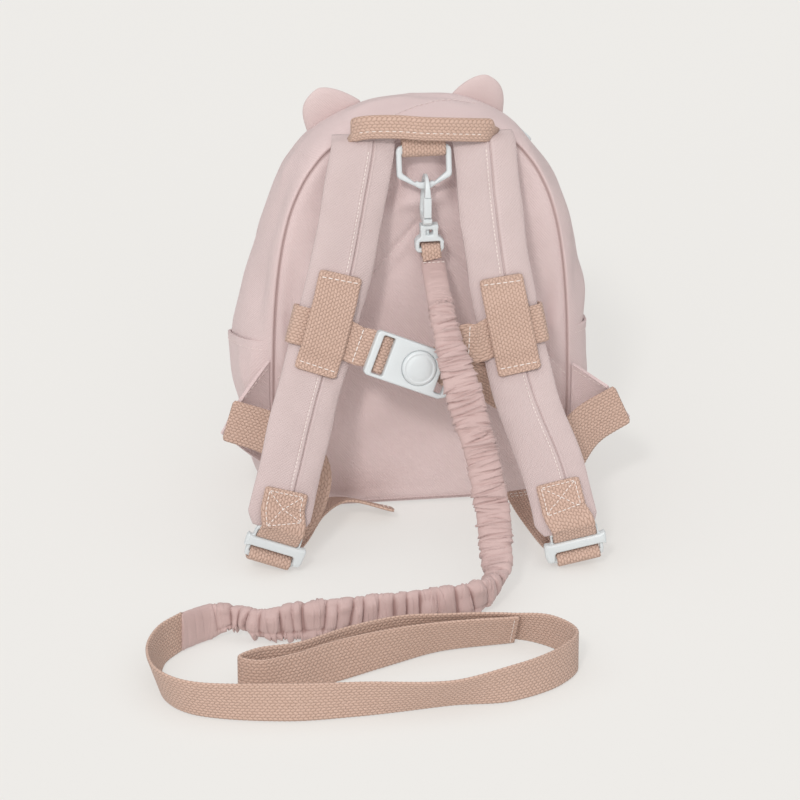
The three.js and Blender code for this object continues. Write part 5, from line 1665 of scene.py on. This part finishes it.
slackEnd = {
    "route": [(13, -91.5, 95.5), (24, -88, 95), (35, -83, 87.5), (48, -80, 77.5)],
    "up": [(0.4, 0, 0.9), (0.3, 0, 0.95), (0.4, 0, 0.9), (0.45, 0, 0.9)],
    "thick": 1.6,
    "step": 1.2,
}
slackFrames = framesAlong(slackEnd["route"], slackEnd["up"], slackEnd["step"])
webbingBand("chest_slack_band", "chest_tail", slackFrames, webbing["chest"] - 1, slackEnd["thick"])
print("straps made")


# chest buckle with its press button

buckle = {
    "at": (-9.8, -103, 109.4),
    "along": (0.92, -0.03, -0.38),
    "tilt": 0.22,
    "left": -29.5,
    "right": 21,
    "half": 13.2,
    "thick": 6,
    "slotHalf": 11.4,
    "hole": 10.04,
    "button": 9.96,
    "buttonThick": 4.4,
    "proud": 1.5,
    "corner": 2.4,
    "bevel": 0.9,
}


def circleLoop(radius, count=64):
    t = np.linspace(0, 2 * np.pi, count, endpoint=False)
    return list(zip((radius * np.cos(t)).tolist(), (radius * np.sin(t)).tolist()))


def lathePiece(name, profile, middle, axis, count=64):  # turned form: profile rows are radius and height
    axis = unit(vec(axis))
    one = unit(np.cross(axis, np.array([0.31, 0.2, 0.93])))
    two = np.cross(axis, one)
    t = np.linspace(0, 2 * np.pi, count, endpoint=False)
    circle = one * np.cos(t)[:, None] + two * np.sin(t)[:, None]
    return loftPiece(name, [vec(middle) + circle * r + axis * h for r, h in profile])


def makeBuckle():
    along = unit(np.array(buckle["along"]))
    out = np.array([0, -1, buckle["tilt"]])
    out = unit(out - (out @ along) * along)
    up = -np.cross(along, out)
    middle = np.array(buckle["at"])
    left, right, h, c, slot = (buckle[key] for key in ("left", "right", "half", "corner", "slotHalf"))
    outer = [
        *[(left + c - c * math.sin(t), -h + c - c * math.cos(t)) for t in np.linspace(np.pi / 2, 0, 5)],
        (right - 5, -h), (right - 1.2, -h + 2), (right, -h + 4.5), (right, h - 4.5), (right - 1.2, h - 2),
        (right - 5, h),
        *[(left + c - c * math.sin(t), h - c + c * math.cos(t)) for t in np.linspace(0, np.pi / 2, 5)],
    ]
    holes = [
        roundBox(left + 4, -slot, left + 11, slot, 1.0),
        roundBox(right - 8.5, -slot + 1, right - 3.5, slot - 1, 1.0),
        circleLoop(buckle["hole"]),
    ]
    obj = flatPlate("buckle_frame", outer, holes, buckle["thick"], buckle["bevel"], middle, along, up)
    moulded(obj, "chest_buckle")
    seat = middle + out * (buckle["thick"] / 2 + buckle["proud"] - buckle["buttonThick"])
    r, t = buckle["button"], buckle["buttonThick"]
    profile = [
        (0.3, 0), (r - 0.5, 0), (r, 0.5), (r, t - 1.6), (r - 0.5, t - 0.9), (r - 1.5, t - 0.55),
        (r - 2.0, t - 0.75), (r - 2.6, t - 0.75), (r - 3.2, t - 0.45), (5.0, t - 0.12), (2.5, t), (0.3, t),
    ]
    moulded(lathePiece("buckle_button", profile, seat, out), "chest_button", edges="turned", body="button")


makeBuckle()


# carry handle, ring and hook

carryHandle = {
    "route": [
        (-41.5, -46.4, 230), (-38.4, -50, 234), (-32, -54.5, 236.8), (-16, -57.5, 237.4), (0, -59.5, 236.2),
        (16, -58.5, 234.6), (33, -54.5, 232), (40, -50, 230), (43.6, -46.6, 228.6),
    ],
    "upright": [
        (0.5, 0, 0.85), (0.25, 0.1, 1), (0, 0.25, 1), (0, 0.25, 1), (0, 0.25, 1),
        (0, 0.25, 1), (0, 0.25, 1), (0.25, 0.1, 1), (0.5, 0, 0.85),
    ],
    "tall": 13.4,
    "thick": 3.2,
    "step": 0.8,
    "seam": -2.4,
    "seamEnds": (9, 14),
    "endDrop": (0.8, 0.1),  # how far the sewn ends lie low, left and right
    "leftEnd": ((0, 3.2, 4.6, 6.4), (0.26, 0.40, 0.90, 1)),  # distance from the end, share of the height
    "rightEnd": ((0, 5.0, 7.0, 9.0), (0.26, 0.46, 0.90, 1)),
}


def makeHandle():
    f = framesAlong(carryHandle["route"], carryHandle["upright"], carryHandle["step"], facing=(0, -1, 0))
    run, total = f["run"], f["run"][-1]
    tall, thick, seam = carryHandle["tall"], carryHandle["thick"], carryHandle["seam"]
    turn = np.linspace(0, 2 * np.pi, 36, endpoint=False)
    a = signedPower(np.cos(turn), 0.42) * tall / 2
    n = signedPower(np.sin(turn), 0.5) * thick / 2
    n = n - 0.45 * bump(a, seam, 0.8) * (n > 0)
    flat = 0.5 + 0.5 * np.clip(np.minimum(run / 7, (total - run) / 9), 0.0, 1)
    fromLeft = np.interp(run, *carryHandle["leftEnd"])
    narrow = np.minimum(fromLeft, np.interp(total - run, *carryHandle["rightEnd"]))
    drop = np.where(run < total / 2, *carryHandle["endDrop"]) * (narrow - 1) * tall / 2
    rings = sweep(f, a[None] * narrow[:, None] + drop[:, None], n[None] * flat[:, None])
    obj = loftPiece("handle_band", rings, spread(run[:, None], (a + 2 * np.sin(turn))[None]))
    finishPiece(obj, tanWebbing, ["carry_handle"])
    start, end = carryHandle["seamEnds"]
    path, face = onFrames(f, np.linspace(start, total - end, 80), seam, thick / 2 - 0.3)
    sewLine("strap_threads", path, face, "handle")


makeHandle()

dRing = {
    "top": (0, -53, 222), "down": (0, -0.2425, -0.97), "bar": 4.4, "half": 15.8, "deep": 22.8, "bevel": 1.2,
    "tabThick": 1.8, "tabStep": 0.6,
}


def mirrored(half, tip):  # the first point and the tip lie on the middle line
    return [*half, (0, tip), *[(-x, y) for x, y in half[:0:-1]]]


def makeRing():
    b, w, deep = dRing["bar"], dRing["half"], dRing["deep"]
    outer = [
        (0, b / 2), (w - 3.4, b / 2), (w - 1.5, b / 2 - 0.6), (w - 0.4, b / 2 - 1.9), (w, b / 2 - 3.4),
        (w, -14), (w - 0.3, -15.4), (w - 1.3, -16.5), (5.2, -deep + 1.5), (3.6, -deep + 0.4),
        (1.8, -deep - 0.1),
    ]
    inner = [
        (0, -b / 2), (w - 4.4, -b / 2), (w - 3.5, -b / 2 - 0.5), (w - 3.2, -b / 2 - 1.4), (w - 3.2, -12.9),
        (w - 3.7, -13.7), (5.6, -deep + 4.0), (4.2, -deep + 4.6), (3.2, -deep + 4.0),
    ]
    loops = mirrored(outer, -deep - 0.2), [mirrored(inner, -deep + b - 0.4)]
    up = -unit(np.array(dRing["down"]))
    obj = flatPlate("ring_plastic", *loops, b - 0.4, dRing["bevel"], dRing["top"], (1, 0, 0), up, steps=4)
    moulded(obj, "ring", edges="turned")
    y, z = dRing["top"][1:]
    clear = beside(b / 2)
    points = [
        (0, y + clear + 0.6, z + 7), (0, y + clear + 0.4, z + 3), (0, y + clear, z),
        (0, y + clear * 0.72, z - clear * 0.75), (0, y, z - clear - 0.1),
        (0, y - clear * 0.72, z - clear * 0.75), (0, y - clear, z), (0, y - clear * 0.6, z + clear * 0.9),
        (0, y - clear * 0.25, z + 6.2),
    ]
    frames = framesAlong(points, [(1, 0, 0)] * len(points), dRing["tabStep"])
    webbingBand("ring_loop_band", "ring_tab", frames, webbing["width"], dRing["tabThick"])


makeRing()

hook = {
    "x": 0.7, "thick": 5.2, "bowY": -58.5, "bowZ": 200, "inner": 4.9, "outer": 8.4, "noseZ": 197.2,
    "gateFoot": 184.6, "collarZ": 180, "eyeTop": 179.4, "eyeY": -60.5, "eyeThick": 6.4, "slim": 0.36,
    "slimZ": (189, 208), "bevel": 0.7, "gateBevel": 0.55, "eyeBevel": 0.9, "loopWidth": 11, "loopThick": 1.4,
    "loopStep": 0.5,
}


def makeHook():
    x, y, z, gap = hook["x"], hook["bowY"], hook["bowZ"], webbing["clear"]
    inner, outer, collar, foot = (hook[key] for key in ("inner", "outer", "collarZ", "gateFoot"))
    bow = [
        (y - outer, hook["noseZ"]), *arcLoop(y, z, outer, 180, 0), (y + outer, foot + 1), (y + 6, collar),
        (y - 6.4, collar), (y - 8.2, collar + 2), (y - 8.2, foot - gap), (y + inner - 3, foot - gap),
        (y + inner - 0.9, foot + 0.5), (y + inner, foot + 4), *arcLoop(y, z, inner, 0, 180),
        (y - inner, hook["noseZ"]),
    ]
    upright = (x, 0, 0), (0, 1, 0), (0, 0, 1)
    body = flatPlate("hook_bow", bow, [], hook["thick"], hook["bevel"], *upright)
    co = np.array([v.co for v in body.data.vertices])
    slimFrom, slimTo = hook["slimZ"]
    slim = 1 - (1 - hook["slim"]) * np.clip((co[:, 2] / mm - slimFrom) / (slimTo - slimFrom), 0, 1)
    co[:, 0] = x * mm + (co[:, 0] - x * mm) * slim
    body.data.vertices.foreach_set("co", co.ravel())
    moulded(body, "hook_body")
    tongue = roundBox(y - 8, foot, y - 5.2, hook["noseZ"] - gap, 0.9)
    gate = flatPlate("hook_gate_tongue", tongue, [], hook["thick"] - 0.8, hook["gateBevel"], *upright)
    moulded(gate, "hook_gate", body="gate")
    shape = [
        (-4.6, hook["eyeTop"]), (-4.9, 178), (-4.6, 176.4), (-4.6, 172.6), (-6.4, 171.2), (-7.6, 169.4),
        (-7.6, 165), (-6.2, 163), (7.4, 163), (8.8, 165), (8.8, 169.4), (7.4, 171.2), (5.4, 172.6),
        (5.4, 176.4), (5.7, 178), (5.4, hook["eyeTop"]),
    ]
    holes = [roundBox(-5.2, 165.5, 6.6, 169.4, 0.7), roundBox(-1.6, 173.4, 2.4, 176.6, 0.8)]
    seat = x + 1, hook["eyeY"], 0
    thick, bevel = hook["eyeThick"], hook["eyeBevel"]
    eye = flatPlate("hook_eye_frame", shape, holes, thick, bevel, seat, (1, 0, 0), (0, 0, 1))
    moulded(eye, "hook_eye")
    profile = [(0.3, 172.4), (1.3, 172.4), (1.3, 179.2), (0.3, 179.2)]
    moulded(lathePiece("hook_pin", profile, (x + 0.4, hook["eyeY"], 0), (0, 0, 1), 24), edges="turned")
    x = x + 2.2
    points = [
        (x + 0.6, -65.3, 159.4), (x + 0.3, -65.3, 161), (x, -64.9, 164.5), (x, -63.4, 166.6),
        (x, -60.5, 167.2), (x, -57.6, 166.6), (x, -56.1, 164.5), (x + 0.3, -57, 161.5),
        (x + 0.6, -59.2, 159.4),
    ]
    frames = framesAlong(points, [(1, 0, 0)] * len(points), hook["loopStep"])
    webbingBand("hook_loop_band", "hook_loop", frames, hook["loopWidth"], hook["loopThick"])


makeHook()


# stitched line over the crown, and the zip's slider with its pull

crownStitch = {"x": (-16, -8, 3, 13, 24, 36), "across": (0.08, 0.13, 0.20, 0.26, 0.30, 0.32), "lift": 0.35}


def sewCrown():
    a = np.linspace(-0.2, 0.2, 801)
    x = np.linspace(crownStitch["x"][0], crownStitch["x"][-1], 60)
    across = np.interp(x, crownStitch["x"], crownStitch["across"])
    around = [a[np.abs(bagPoint(a, np.full_like(a, t))[:, 0] - v).argmin()] for v, t in zip(x, across)]
    around = np.array(around)
    place, normal = bagPoint(around, across), bagNormal(around, across)
    place = place + normal * (slack(place) + crownStitch["lift"])[:, None]
    sewLine("body_threads", place, normal, "crown")


sewCrown()

zipPull = {
    "fromEnd": 0.03, "lift": 1.4, "thick": 2, "bevel": 0.6, "box": (-6, -4.5, 16, 4.5, 3.2),
    "eye": (9.5, -2.2, 13.5, 2.2, 1.8),
}


def makeZipPull():
    a, c = np.array([bag["shoulder"] - zipPull["fromEnd"]]), np.array([zipLine["across"]])
    seat, out = bagPoint(a, c)[0], bagNormal(a, c)[0]
    right = unit(bagPoint(a + 0.01, c)[0] - seat)
    up = unit(np.cross(out, right))
    outer, hole = roundBox(*zipPull["box"]), roundBox(*zipPull["eye"])
    seat = seat + out * zipPull["lift"]
    obj = flatPlate("zip_pull", outer, [hole], zipPull["thick"], zipPull["bevel"], seat, right, up)
    moulded(obj, "zip_slider")


makeZipPull()
makeThreads("body_threads", pinkThread)
makeThreads("strap_threads", whiteThread)
makeThreads("rein_threads", whiteThread)
print("hardware and threads made")
